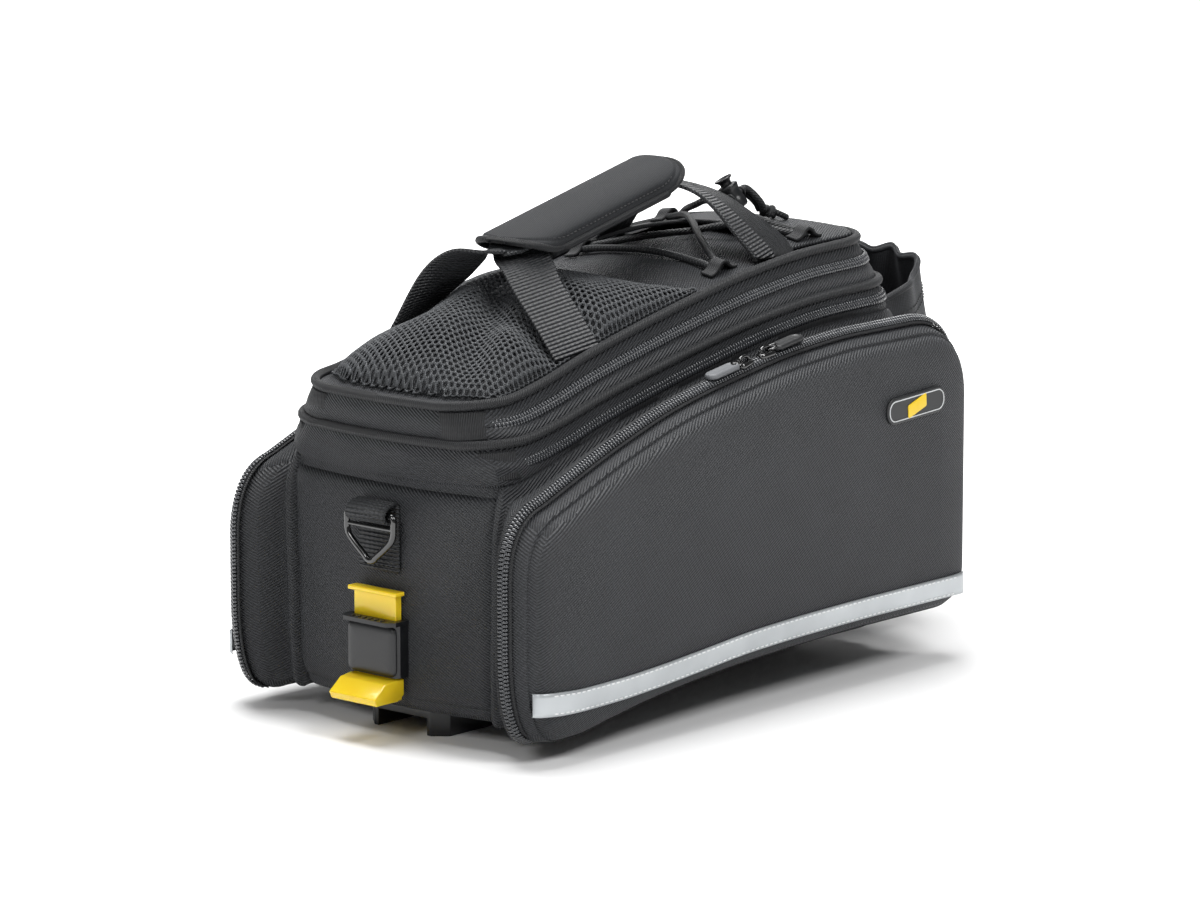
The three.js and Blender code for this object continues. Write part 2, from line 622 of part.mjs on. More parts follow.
// Height of whatever covers the lid there: the rear flap, or the lid itself.
const coverTop = (x, y) => lidTop(x, y) + (x >= hemX(y) ? clothRest + cloth + flapOpen(x, y) : 0);

// The padded panel over the front of the tub, from the middle of one front corner to that of the other.
function frontPanel() {
  const reach = steps.front + steps.corner / 2;
  const shares = [0, 0.06, 0.35, 0.65, 0.94, 1];
  const low = bottom + foot;
  const grid = (outer) => shares.map((share) => Array.from({ length: 2 * reach + 1 }, (_, c) => {
    const at = c - reach;
    const z = lerp(low, panel.top, share);
    const line = wallPlan(wallShare(frontX, z));
    const [here, next, last] = [0, 1, -1].map((k) => {
      const [x, y] = line[Math.abs(at + k)];
      return point(x, at + k < 0 ? -y : y, z);
    });
    const puff = Math.min(1, 6 * share, 6 * (1 - share)) ** 0.5 * (1 - 0.75 * (at / reach) ** 8);
    const stand = gap + (outer ? panel.edge + panel.thick * puff : 0);
    return here.addScaledVector(axis.z.clone().cross(next.sub(last)).normalize(), stand);
  }));
  return sheet(grid(true), grid(false));
}

// Webbing loop that holds the ring: a flat strip, swollen where the ring's bar runs through it.
function ringLoop(back) {
  const rows = [
    [-loop.below, 0], [-ring.tunnel - 2, 0], [-ring.tunnel - 0.6, 0.9], [0, 1], [ring.tunnel + 1.4, 0.9],
    [loop.above, 0.3],
  ];
  const half = loop.width / 2;
  return loft(rows.map(([up, share]) => {
    const z = ring.barHeight + up;
    const out = back - loop.thick - share * loop.swell;
    return [point(back, -half, z), point(back, half, z), point(out, half, z), point(out, -half, z)];
  }));
}

// The ring: a bar inside the loop, a crossbar below it, and a rounded point.
function ringShape() {
  const lower = (outline, inset, top) => {
    const half = ring.width / 2 - inset;
    const low = -ring.straight - ring.tip + inset * 1.4;
    const tip = ring.tipHalf - inset * 0.4;
    const bevel = inset ? 0.8 : 2;
    outline.moveTo(half - bevel, top).lineTo(-half + bevel, top).lineTo(-half, top - bevel);
    outline.lineTo(-half, -ring.straight).lineTo(-tip, low + 5).quadraticCurveTo(0, low - 3, tip, low + 5);
    return outline.lineTo(half, -ring.straight).lineTo(half, top - bevel).closePath();
  };
  const inner = ring.width / 2 - ring.wire;
  const cross = -ring.crossbar - ring.wire / 2;
  const slot = new THREE.Path().moveTo(inner, -ring.wire / 2).lineTo(-inner, -ring.wire / 2);
  slot.lineTo(-inner, cross + ring.wire).lineTo(inner, cross + ring.wire).closePath();
  const shape = lower(new THREE.Shape(), 0, ring.wire / 2);
  shape.holes.push(slot, lower(new THREE.Path(), ring.wire, cross));
  return shape;
}

function buildFront() {
  const panelFace = frontX + levels.seam.frontIn - gap - panel.edge - panel.thick;
  const back = frontX + levels.base.frontIn - 2 * gap;
  const room = plate(roundedRect(housing.width + 1, housing.high - housing.low + 1, 1), 40,
    point(back - 30, 0, (housing.high + housing.low) / 2), axis.y, axis.z);
  add("front_panel", toGeometry(toSolid(frontPanel()).subtract(toSolid(room))), finishes.twill);

  const sewn = panelFace - gap;
  const barX = sewn - loop.thick - loop.swell + ring.tunnel + 1;
  const ringCorner = point(barX - ring.depth / 2, 0, ring.barHeight);
  add("d_ring", plate(ringShape(), ring.depth, ringCorner, axis.y, axis.z, 5), finishes.steel);
  const tunnel = new THREE.CylinderGeometry(ring.tunnel, ring.tunnel, ring.width * 2, 12);
  tunnel.translate(barX, 0, ring.barHeight);
  add("ring_loop", toGeometry(toSolid(ringLoop(sewn)).subtract(toSolid(tunnel))), finishes.webbing);

  // Housing: a block let into the panel and a shelf over it, with a slot for the latch's stem
  const face = back - housing.depth;
  const slotBack = back - housing.bore;
  const slotFront = slotBack - latch.stemDepth - 2 * latch.slack;
  const stemBack = slotBack - latch.slack;
  const stemFront = stemBack - latch.stemDepth;
  const slotHalf = latch.stem / 2 + latch.slack;
  const block = (behind, front, half, bevel) => {
    const made = new THREE.Shape().moveTo(behind, half).lineTo(front + bevel, half).lineTo(front, half - bevel);
    made.lineTo(front, -half + bevel).lineTo(front + bevel, -half).lineTo(behind, -half).closePath();
    const slot = new THREE.Path().moveTo(slotBack, slotHalf).lineTo(slotFront, slotHalf);
    made.holes.push(slot.lineTo(slotFront, -slotHalf).lineTo(slotBack, -slotHalf).closePath());
    return made;
  };
  const body = plate(block(back, face, housing.width / 2, 2.5), housing.high - housing.low, point(0, 0, housing.low), axis.x, axis.y);
  const shelf = plate(block(slotBack + 0.5, face - ledge.reach, housing.width / 2 + ledge.overhang, 4), ledge.thick,
    point(0, 0, housing.high - 0.5), axis.x, axis.y);
  add("latch_housing", toGeometry(toSolid(body).add(toSolid(shelf))), finishes.blackNylon);

  // Latch: a stem through the housing, a lipped pad above it and a wedge-shaped hook below
  const bar = (pairs, width) => {
    const shape = new THREE.Shape(pairs.map(([x, z]) => new THREE.Vector2(x, z)));
    return toSolid(plate(shape, width, point(0, width / 2, 0), axis.x, axis.z));
  };
  const hookFront = face - hook.reach;
  const stem = bar([[stemBack, hook.low], [stemBack, latch.top], [stemFront, latch.top], [stemFront, hook.low]], latch.stem);
  const lip = bar([[stemBack, latch.top - latch.lip], [stemBack, latch.top], [stemFront - latch.lipReach, latch.top],
    [stemFront - latch.lipReach, latch.top - latch.lip]], latch.stem + 2 * latch.lipOver);
  const wedge = bar([[stemBack, hook.low + 3], [stemBack, hook.high], [stemFront - 2, hook.high],
    [hookFront + hook.bevel, hook.high - 1], [hookFront, hook.low + 4], [hookFront + 2, hook.low],
    [stemFront, hook.low]], hook.width);
  add("latch", toGeometry(stem.add(lip).add(wedge)), finishes.yellowNylon);
}

// The rail under the bag: a plate that stands on two runners, with its corners cut off in plan.
function baseRail() {
  const half = rail.width / 2;
  const inner = half - rail.runner;
  const top = bottom - gap;
  const under = top - rail.plate;
  const low = under - rail.under;
  const shape = new THREE.Shape().moveTo(-half, low).lineTo(-inner, low).lineTo(-inner, under).lineTo(inner, under);
  shape.lineTo(inner, low).lineTo(half, low).lineTo(half, top).lineTo(-half, top).closePath();
  const start = frontX + rail.frontInset;
  const [end, cut] = [start + rail.length, half - rail.bevel];
  const trim = new THREE.Shape([[start, -cut], [start + rail.bevel, -half - 1], [end - rail.bevel, -half - 1],
    [end, -cut], [end, cut], [end - rail.bevel, half + 1], [start + rail.bevel, half + 1], [start, cut],
  ].map((pair) => new THREE.Vector2(...pair)));
  const whole = toSolid(plate(shape, rail.length, point(start, 0, 0), axis.y, axis.z));
  return toGeometry(whole.intersect(toSolid(plate(trim, 60, point(0, 0, low - 1), axis.x, axis.y))));
}

// Centre line of the grip, at a place along the bag.
const gripHeight = (x) => lidTop(grip.middle, 0) + grip.lift + (x - grip.middle) * grip.slope;

// One strap's course from the lid's edge into the grip: how far it has come along the bag, how far it
// still is from the bag's middle, how much of its rise it has made in front and behind, and its lean.
const strapCourse = [
  { along: 0, side: 1, front: 0, rear: 0, lean: 1 },
  { along: 0.5, side: 0.78, front: 0.36, rear: 0.27, lean: 1 },
  { along: 1, side: 0.54, front: 0.72, rear: 0.56, lean: 0.85 },
  { along: 1.5, side: 0.34, front: 0.92, rear: 0.79, lean: 0.45 },
  { along: 4, side: 0.15, front: 0.985, rear: 0.95, lean: 0.08 },
  { along: 10, side: 0.04, front: 1, rear: 1, lean: 0 },
  { along: 20, side: 0, front: 1, rear: 1, lean: 0 },
];

function handleStrap(side, front, lift) {
  const half = (way, base, rise) => strapCourse.map((row) => {
    const mouth = Math.abs(grip.middle + (way * grip.length) / 2);
    const shear = (base - mouth - 6) * (1 - row.side);
    const x = way * (base - row.along - shear);
    const y = side * row.side * strap.foot;
    const low = lidTop(way * base, strap.foot) + strap.rest + strap.thick / 2;
    const slope = (lidTop(way * base + 5, strap.foot) - lidTop(way * base - 5, strap.foot)) / 10;
    const at = point(x, y, lerp(low, gripHeight(x) + lift, row[rise]));
    return { at, out: point(-lerp(grip.slope, slope, row.lean), side * row.lean * 0.75, 1 - row.lean * 0.35) };
  });
  const samples = [...half(-1, front, "front"), ...half(1, strap.rear, "rear").reverse()].map((row, i, all) => {
    const tangent = all[Math.min(i + 1, all.length - 1)].at.clone().sub(all[Math.max(i - 1, 0)].at).normalize();
    const out = row.out.addScaledVector(tangent, -row.out.dot(tangent)).normalize();
    return { at: row.at, across: tangent.cross(out).normalize(), out };
  });
  const [w, t] = [strap.width / 2, strap.thick / 2];
  return band(samples, [[-w, -t], [w, -t], [w, t], [-w, t]]);
}

// The grip: a padded sleeve round both straps. At each end only its top runs on, rounded in plan, and
// the straps come out below it.
function handleGrip() {
  const outline = (target, inset) => {
    const round = (value) => Math.sign(value) * Math.abs(value) ** 0.75;
    const pairs = Array.from({ length: 16 }, (_, i) => {
      const turn = (i / 16) * 2 * Math.PI;
      return new THREE.Vector2((grip.width / 2 - inset) * round(Math.cos(turn)), (grip.height / 2 - inset) * round(Math.sin(turn)));
    });
    return target.setFromPoints(pairs);
  };
  const section = outline(new THREE.Shape(), 0);
  section.holes.push(outline(new THREE.Path(), grip.wall));
  const start = -grip.length / 2;
  const sleeve = toSolid(plate(section, grip.length, point(start, 0, 0), axis.y, axis.z));
  const top = plate(roundedRect(grip.length, grip.width + 2, grip.corner), 40, point(0, 0, -20), axis.x, axis.y);
  const cut = new THREE.BoxGeometry(grip.mouth * 2, grip.width + 4, grip.height);
  const low = grip.height * 0.2;
  const ends = [-1, 1].map((way) => toSolid(cut.clone().translate(way * grip.length / 2, 0, -low)));
  const open = sleeve.intersect(toSolid(top)).subtract(ends[0]).subtract(ends[1]);
  const lean = new THREE.Matrix4().makeRotationY(-Math.atan(grip.slope));
  return toGeometry(open).applyMatrix4(lean.setPosition(grip.middle, 0, gripHeight(grip.middle)));
}

// The cord lock's own frame: its middle, its length (w), and the way the cord runs through it (u).
function lockFrame() {
  const w = point(...lock.lean).normalize();
  const u = axis.x.clone().addScaledVector(w, -w.x).normalize();
  return { middle: onLid(alongX(lock.along), 0, lock.lift), u, v: w.clone().cross(u), w };
}

const onLid = (x, y, lift) => point(x, y, lidTop(x, y) + lift);

// One half of the bungee, chosen by hand as [X, side, lift over the lid]: from the lock round a rear tab,
// then over the lid to the front tab across from it and round that.
const bungeeHalf = [
  [101.5, 7, 18], [101, 15, 15], [106, 26, 11.5], [113.5, 36, 7.6], [119.5, 43, 5.9], [121.5, 48, 5.6],
  [118.3, 51, 5.6], [115, 48, 5.6], [112, 43, 5.8],
];
const crossing = [[99, 21.5], [81, 0], [66, -18], [51, -41]];
const frontTurn = [[47.5, -48, 2.6], [44.5, -51, 2.6], [41.5, -48, 2.6], [42, -40, 2.6]];

function bungeeCurve() {
  const { middle, u, v } = lockFrame();
  const through = (side) => [bungee * 2.6, 0, -bungee * 2.6].map((reach) =>
    middle.clone().addScaledVector(u, reach).addScaledVector(v, side * (bungee / 2 + gap)));
  const half = (side, lifts) => [
    onLid(alongX(knot.along) - 5.6, side * 1.6 + knot.side, knot.lift + 1), onLid(alongX(knot.along) - 9, side * 2.2 + knot.side, knot.lift + 6),
    ...through(side), ...bungeeHalf.map(([x, y, lift]) => onLid(x, side * y, lift)),
    ...crossing.map(([x, y], i) => onLid(x, side * y, lifts[i])),
    ...frontTurn.map(([x, y, lift]) => onLid(x, side * y, lift)),
  ];
  const near = half(-1, [8.6, 4.9, 4.2, 3]);
  const far = half(1, [9.2, 9.7, 7.4, 3.2]);
  return new THREE.CatmullRomCurve3([...near, onLid(43, 0, 2.8), ...far.reverse()], false, "centripetal");
}

function bungeeCord() {
  const shape = new THREE.Shape().absarc(0, 0, bungee / 2, 0, 2 * Math.PI, false);
  return new THREE.ExtrudeGeometry(shape, { extrudePath: bungeeCurve(), steps: 84, curveSegments: 3, bevelEnabled: false });
}

// A fabric tab sewn over a turn of the bungee: two feet on the lid and an arch between them.
function cordBridge(x, side) {
  const way = Math.sign(side);
  const clear = bungee + 1.4;
  const span = cordTab.width / 2;
  const inner = [[-span - 5, 0], [-span - 2, 0], [-span, clear], [span, clear], [span + 2, 0], [span + 5, 0]];
  const outer = inner.map(([a, h], i) => [a + Math.sign(a) * (i % 5 ? 0.8 : 0), h + cordTab.thick]);
  const end = (y) => {
    const place = ([a, h]) => point(x + a, y, coverTop(x + a, y) + gap + h);
    return [...inner.map(place), ...outer.map(place).reverse()];
  };
  return loft([end(side - way * cordTab.depth), end(side)], { fold: 1 });
}

// The cord lock: a barrel with a slot for both strands, and its push button.
function buildLock() {
  const { middle, u, v, w } = lockFrame();
  const place = new THREE.Matrix4().makeBasis(u, v, w).setPosition(middle);
  const [r, h] = [lock.radius, lock.height / 2];
  const turned = (pairs) => new THREE.LatheGeometry(pairs.map((pair) => new THREE.Vector2(...pair)), 14).rotateX(Math.PI / 2);
  const barrel = turned([[0, -h], [r - 1.2, -h], [r, -h + 2], [r, h - 1], [r - 1, h], [0, h]]);
  const slot = new THREE.BoxGeometry(lock.radius * 4, lock.slotWidth, lock.slotHeight);
  add("cord_lock", toGeometry(toSolid(barrel).subtract(toSolid(slot))).applyMatrix4(place), finishes.blackNylon);
  const [b, top] = [lock.button, h + gap + lock.cap];
  const button = turned([[0, h + gap], [b, h + gap], [b, top - 1], [b - 1, top], [0, top]]);
  add("cord_lock_button", button.applyMatrix4(place), finishes.blackNylon);
  const ball = new THREE.SphereGeometry(knot.radius, 12, 8);
  add("bungee_knot", ball.applyMatrix4(new THREE.Matrix4().setPosition(onLid(alongX(knot.along), knot.side, knot.lift))), finishes.elastic);
}

// The bottle pouch: a sleeve on the rear wall, flat against it, with a gathered rim that dips towards it.
function bottlePouch() {
  const around = 36;
  const ringOf = (share, inset, raise = 0) => Array.from({ length: around }, (_, i) => {
    const turn = (i / around) * 2 * Math.PI;
    const rim = lerp(pouch.rimFront, pouch.rimRear, (1 + Math.cos(turn)) / 2) + pouch.rimLean * Math.sin(turn);
    const gather = pouch.ruffle * Math.cos(pouch.gathers * turn) * clamp((share - 0.72) / 0.28, 0, 1);
    const neck = pouch.neck * clamp((share - 0.7) / 0.3, 0, 1);
    const radius = pouch.radius * lerp(0.9, 1, Math.min(1, share * 2)) - inset - neck - Math.abs(gather);
    const x = Math.max(rearX + pouch.out + radius * Math.cos(turn), rearX + gap + inset);
    return point(x, radius * Math.sin(turn), lerp(pouch.floor, rim + gather * 0.8, share) + raise);
  });
  const shares = [0, 0.04, 0.3, 0.7, 0.86, 1];
  const inner = [ringOf(0, pouch.wall, pouch.wall), ...shares.slice(2).map((share) => ringOf(share, pouch.wall))];
  return loft([...shares.map((share) => ringOf(share, 0)), ...inner.reverse()]);
}

function buildBody() {
  const { base, seam, lowZip, cord, topZip, lid } = levels;
  add("body_shell", bodyShell(), finishes.twill);
  add("lid_shell", lidShell(), finishes.twill);
  add("net_pocket", netPocket(), finishes.net);
  add("rear_flap", rearFlap(), finishes.twill);
  add("lid_piping", piping(skinSamples(lid, topZip, between(topZip, lid, 2)), gap * 2), finishes.binding);
  add("collar_piping", piping(skinSamples(cord, lowZip, topZip), gap), finishes.binding);
  zipRound("lid_zip", skinSamples(topZip, cord, lid), steps.front + 1);
  zipRound("collar_zip", skinSamples(lowZip, seam, cord, "seam"), steps.front + 2);
  add("base_rail", baseRail(), finishes.blackNylon);
  add("bottle_pouch", bottlePouch(), finishes.twill);
}

function buildPockets() {
  const pieces = [
    ["pocket_gusset", pocketGusset(), finishes.twill],
    ["pocket_panel", pocketPanel(), finishes.moulded],
    ["pocket_zip", pocketZip(), finishes.zipCoil],
    ["stripe", stripeBand(), finishes.reflective],
    ["badge", badgePlate(), finishes.rubber],
    ["slider_front", sliderBody(sliderAlong.front), finishes.steel],
    ["slider_rear", sliderBody(sliderAlong.rear), finishes.steel],
    ["pull_front", sliderPull(sliderAlong.front, -1), finishes.rubber],
    ["pull_rear", sliderPull(sliderAlong.rear, 1), finishes.rubber],
  ];
  for (const [name, geometry, finish] of pieces) {
    add(name + "_near", geometry, finish);
    add(name + "_far", mirrored(geometry), finish);
  }
}

function buildTop() {
  add("handle_strap_near", handleStrap(-1, strap.frontNear, -strap.drop - strap.apart / 2), finishes.webbing);
  add("handle_strap_far", handleStrap(1, strap.frontFar, -strap.drop + strap.apart / 2), finishes.webbing);
  add("handle_grip", handleGrip(), finishes.neoprene);
  add("bungee", bungeeCord(), finishes.elastic);
  for (const [name, x, side] of [["front", 44.5, 55], ["rear", 118.3, 55]]) {
    add("cord_tab_" + name + "_near", cordBridge(x, -side), finishes.binding);
    add("cord_tab_" + name + "_far", cordBridge(x, side), finishes.binding);
  }
  buildLock();
}

buildBody();
buildPockets();
buildFront();
buildTop();

// The frame's origin is under the middle of the whole part, where its runners stand.
const extent = new THREE.Box3().setFromObject(bag);
bag.position.set(-(extent.min.x + extent.max.x) / 2, 0, -extent.min.z);

export default bag;
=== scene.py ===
import bmesh
import bpy
import math
import numpy as np
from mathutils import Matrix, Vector, noise


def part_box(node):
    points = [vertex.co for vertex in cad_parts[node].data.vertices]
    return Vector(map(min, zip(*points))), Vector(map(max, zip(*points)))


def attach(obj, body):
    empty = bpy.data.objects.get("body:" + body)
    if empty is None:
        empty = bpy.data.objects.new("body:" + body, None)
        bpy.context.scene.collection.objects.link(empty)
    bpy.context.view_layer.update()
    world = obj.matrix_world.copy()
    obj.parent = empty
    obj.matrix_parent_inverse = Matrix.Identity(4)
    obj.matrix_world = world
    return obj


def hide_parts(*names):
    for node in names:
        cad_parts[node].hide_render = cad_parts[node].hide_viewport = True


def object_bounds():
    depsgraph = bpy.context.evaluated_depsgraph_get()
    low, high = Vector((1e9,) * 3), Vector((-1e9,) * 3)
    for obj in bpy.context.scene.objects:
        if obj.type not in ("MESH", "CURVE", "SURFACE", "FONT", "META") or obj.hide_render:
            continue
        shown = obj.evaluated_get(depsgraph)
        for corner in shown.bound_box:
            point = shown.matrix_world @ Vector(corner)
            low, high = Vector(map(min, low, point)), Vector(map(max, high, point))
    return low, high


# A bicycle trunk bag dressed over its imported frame. Shapes are drawn in millimetres, from the front face to
# the rear wall along X and up from the bag's bottom along Z, and place() moves them onto the frame.
bag = {"front": -173, "rear": 173, "bottom": 9, "foot": 8, "bow": 10, "crown": 7, "middle": (0, 0, 100)}
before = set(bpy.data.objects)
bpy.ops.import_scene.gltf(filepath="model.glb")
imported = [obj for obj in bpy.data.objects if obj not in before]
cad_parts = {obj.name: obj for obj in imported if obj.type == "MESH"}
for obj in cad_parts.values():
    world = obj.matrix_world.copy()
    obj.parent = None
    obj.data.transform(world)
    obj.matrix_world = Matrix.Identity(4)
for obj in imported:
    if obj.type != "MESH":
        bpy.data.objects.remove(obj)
cadBox = [list(corner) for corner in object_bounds()]
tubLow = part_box("body_shell")[0]
shift = np.array([tubLow.x * 1000 - bag["front"], 0, tubLow.z * 1000 - bag["bottom"]])


def place(points):
    return (np.asarray(points, float) + shift) / 1000


# Camera at the photograph's angle
camera = {"at": (-2342.76, -2084.28, 733.39), "back": (-0.73382, -0.65220, 0.19012), "lens": 171.56,
          "sensor": 36, "sight": 50}
lens = bpy.data.cameras.new("camera")
lens.lens = camera["lens"]
lens.sensor_width = camera["sensor"]
lens.clip_end = camera["sight"]
viewer = bpy.data.objects.new("camera", lens)
bpy.context.scene.collection.objects.link(viewer)
viewer.location = place(camera["at"])
viewer.rotation_mode = "QUATERNION"
viewer.rotation_quaternion = (-Vector(camera["back"])).to_track_quat("-Z", "Y")
bpy.context.scene.camera = viewer
print("camera placed")


# Curves and reading of tables

def mix(a, b, share):
    return a + (b - a) * share


def smooth(low, high, value):
    t = np.clip((np.asarray(value, float) - low) / (high - low), 0, 1)
    return t * t * (3 - 2 * t)


def curveThrough(xs, ys):
    # a smooth curve through points that never overshoots them
    xs, ys = np.array(xs, float), np.array(ys, float)
    step = np.diff(xs)
    rise = np.diff(ys) / step
    slope = np.zeros(len(xs))
    for i in range(1, len(xs) - 1):
        if rise[i - 1] * rise[i] > 0:
            a, b = 2 * step[i] + step[i - 1], step[i] + 2 * step[i - 1]
            slope[i] = (a + b) / (a / rise[i - 1] + b / rise[i])
    slope[0], slope[-1] = rise[0], rise[-1]

    def at(x):
        x = np.clip(x, xs[0], xs[-1])
        i = np.clip(np.searchsorted(xs, x) - 1, 0, len(xs) - 2)
        t = (x - xs[i]) / step[i]
        first = (2 * t**3 - 3 * t**2 + 1) * ys[i] + (t**3 - 2 * t**2 + t) * step[i] * slope[i]
        return first + (3 * t**2 - 2 * t**3) * ys[i + 1] + (t**3 - t**2) * step[i] * slope[i + 1]
    return at


def spline(points, count, closed=False):
    # a smooth line through the points, with its points spread evenly along it
    p = np.array(points, float)
    n = len(p)
    rows = []
    for k in range(n if closed else n - 1):
        a, b, c, d = (p[(k + j) % n] if closed else p[min(max(k + j, 0), n - 1)] for j in (-1, 0, 1, 2))
        for t in np.linspace(0, 1, 12, endpoint=False):
            rows.append(0.5 * (2 * b + (c - a) * t + (2 * a - 5 * b + 4 * c - d) * t**2
                               + (3 * b - a - 3 * c + d) * t**3))
    rows.append(p[0] if closed else p[-1])
    return evenly(rows, count, closed)


def distances(points):
    # how far along the line each of its points lies
    return np.concatenate([[0], np.cumsum(np.linalg.norm(np.diff(points, axis=0), axis=1))])


def readAlong(values, far, at):
    return np.stack([np.interp(at, far, values[:, k]) for k in range(values.shape[1])], 1)


def evenly(points, count, closed=False):
    p = np.array(points, float)
    far = distances(p)
    at = np.linspace(0, far[-1], count + 1 if closed else count)
    out = readAlong(p, far, at)
    return out[:-1] if closed else out


def lineLength(points):
    return float(np.linalg.norm(np.diff(np.array(points, float), axis=0), axis=1).sum())


def unit(v):
    v = np.asarray(v, float)
    return v / np.maximum(np.linalg.norm(v, axis=-1, keepdims=True), 1e-9)


def alongOf(points, closed=False):
    p = np.array(points, float)
    if closed:
        return unit(np.roll(p, -1, 0) - np.roll(p, 1, 0))
    return unit(np.gradient(p, axis=0))


def ruffle(points, size, height, seed):
    # gentle unevenness of cloth, one value for each point
    spots = [Vector((x / size + seed, y / size, z / size)) for x, y, z in points]
    return np.array([height * noise.noise(spot) for spot in spots])


# Materials

def linear(sheet):
    parts = [int(sheet[i:i + 2], 16) / 255 for i in (1, 3, 5)]
    return [p / 12.92 if p <= 0.04045 else ((p + 0.055) / 1.055) ** 2.4 for p in parts] + [1.0]


def addNode(tree, kind, settings=None, links=None):
    node = tree.nodes.new(kind)
    for key, value in (settings or {}).items():
        if isinstance(key, str) and hasattr(node, key):
            setattr(node, key, value)
        else:
            node.inputs[key].default_value = value
    for key, source in (links or {}).items():
        tree.links.new(source, node.inputs[key])
    return node


def newMaterial(name, **surface):
    made = bpy.data.materials.new(name)
    made.use_nodes = True
    tree = made.node_tree
    shader = tree.nodes["Principled BSDF"]
    for key, value in surface.items():
        shader.inputs[key.replace("_", " ")].default_value = value
    return made, tree, shader


# What the woven finishes share: the wave node's scale for bands 1 mm apart, and how cloth fades and fuzzes
weaveLook = {"bands": 314.159, "stray": 0.4, "fadeScale": 28.0, "fade": 0.3, "tone": 0.7, "fuzzScale": 900.0,
             "speck": 0.8, "speckFrom": -0.75, "fuzzBump": 0.35, "fuzzDepth": 0.0003}


def wovenMaterial(name, dark, light, weave, surface):
    # weave: thread spacings in mm along and across the cloth, its turn in degrees, how deep it is
    made, tree, shader = newMaterial(name, **surface)
    look = weaveLook
    uv = addNode(tree, "ShaderNodeUVMap")
    turned = addNode(tree, "ShaderNodeMapping", {"Rotation": (0, 0, math.radians(weave["turn"]))},
                     {"Vector": uv.outputs[0]})
    bands = []
    for direction, spacing in (("X", weave["along"]), ("Y", weave["across"])):
        bands.append(addNode(tree, "ShaderNodeTexWave", {
            "bands_direction": direction, "Scale": look["bands"] / spacing, "Distortion": look["stray"],
            "Detail": 1.0, "Detail Scale": 1.5}, {"Vector": turned.outputs[0]}))
    both = addNode(tree, "ShaderNodeMath", {"operation": "MULTIPLY"},
                   {0: bands[0].outputs["Fac"], 1: bands[1].outputs["Fac"]})
    woven = addNode(tree, "ShaderNodeMix", {"data_type": "FLOAT", 0: weave["balance"]},
                    {2: bands[0].outputs["Fac"], 3: both.outputs[0]})
    worn = addNode(tree, "ShaderNodeTexNoise", {"Scale": look["fadeScale"], "Detail": 4.0},
                   {"Vector": uv.outputs[0]})
    fuzz = addNode(tree, "ShaderNodeTexNoise", {"Scale": look["fuzzScale"], "Detail": 3.0},
                   {"Vector": uv.outputs[0]})
    faded = addNode(tree, "ShaderNodeMath", {"operation": "MULTIPLY_ADD", 1: look["fade"], 2: look["fade"]},
                    {0: worn.outputs["Fac"]})
    tone = addNode(tree, "ShaderNodeMath", {"operation": "MULTIPLY_ADD", 1: look["tone"]},
                   {0: woven.outputs[0], 2: faded.outputs[0]})
    speck = addNode(tree, "ShaderNodeMath", {
        "operation": "MULTIPLY_ADD", 1: look["speck"], 2: look["speckFrom"]}, {0: fuzz.outputs["Fac"]})
    total = addNode(tree, "ShaderNodeMath", {"operation": "ADD"}, {0: tone.outputs[0], 1: speck.outputs[0]})
    colour = addNode(tree, "ShaderNodeMix", {"data_type": "RGBA", 6: linear(dark), 7: linear(light)},
                     {0: total.outputs[0]})
    bump = addNode(tree, "ShaderNodeBump", {"Strength": weave["strength"], "Distance": weave["depth"] / 1000},
                   {"Height": woven.outputs[0]})
    rough = addNode(tree, "ShaderNodeBump", {"Strength": look["fuzzBump"], "Distance": look["fuzzDepth"]},
                    {"Height": fuzz.outputs["Fac"], "Normal": bump.outputs[0]})
    tree.links.new(colour.outputs[2], shader.inputs["Base Color"])
    tree.links.new(rough.outputs[0], shader.inputs["Normal"])
    return made


cloth = {"Roughness": 0.6, "IOR": 1.5, "Sheen_Weight": 0.08, "Sheen_Roughness": 0.4,
         "Sheen_Tint": linear("#9a9da2"), "Specular_IOR_Level": 0.45}
# Polyester twill, woven and dyed: fine slanting ribs, dull, with a faint sheen at grazing angles.
# Its real threads are 0.5 mm apart, drawn at 1.4 mm so that they show, as in the other cloths here.
twill = wovenMaterial(
    "polyester_twill_woven", "#08090b", "#3c3e42",
    {"along": 1.4, "across": 2.8, "turn": 58, "balance": 0.35, "strength": 1.0, "depth": 0.7}, cloth)
# The same twill laminated to foam and heat moulded: smoother, its ribs pressed flatter
moulded = wovenMaterial(
    "polyester_twill_moulded", "#0b0c0e", "#3a3c40",
    {"along": 1.4, "across": 2.8, "turn": 58, "balance": 0.35, "strength": 0.85, "depth": 0.5}, cloth)
# Grosgrain edge tape, woven: close cross ribs, almost black
binding = wovenMaterial(
    "grosgrain_tape_woven", "#08090a", "#2a2b2e",
    {"along": 1.3, "across": 4.0, "turn": 0, "balance": 0.3, "strength": 0.8, "depth": 0.5}, cloth)
# Polypropylene webbing, woven: strong cross ribs that catch the light
webbing = wovenMaterial(
    "polypropylene_webbing_woven", "#08090a", "#34363a",
    {"along": 2.3, "across": 3.4, "turn": 0, "balance": 0.45, "strength": 1.0, "depth": 1.3},
    {**cloth, "Roughness": 0.5})
# Polyester spacer net, knitted: soft dull strands with fine loops
knit = wovenMaterial(
    "polyester_net_knitted", "#131415", "#55585c",
    {"along": 0.9, "across": 1.1, "turn": 20, "balance": 0.5, "strength": 0.8, "depth": 0.4},
    {**cloth, "Roughness": 0.5, "Sheen_Weight": 0.3})
# Stretch jersey on foam, knitted: smooth, even, velvety
jersey = wovenMaterial(
    "stretch_jersey_knitted", "#101113", "#292b2e",
    {"along": 0.9, "across": 0.9, "turn": 30, "balance": 0.5, "strength": 0.35, "depth": 0.3},
    {**cloth, "Roughness": 0.75, "Specular_IOR_Level": 0.3})
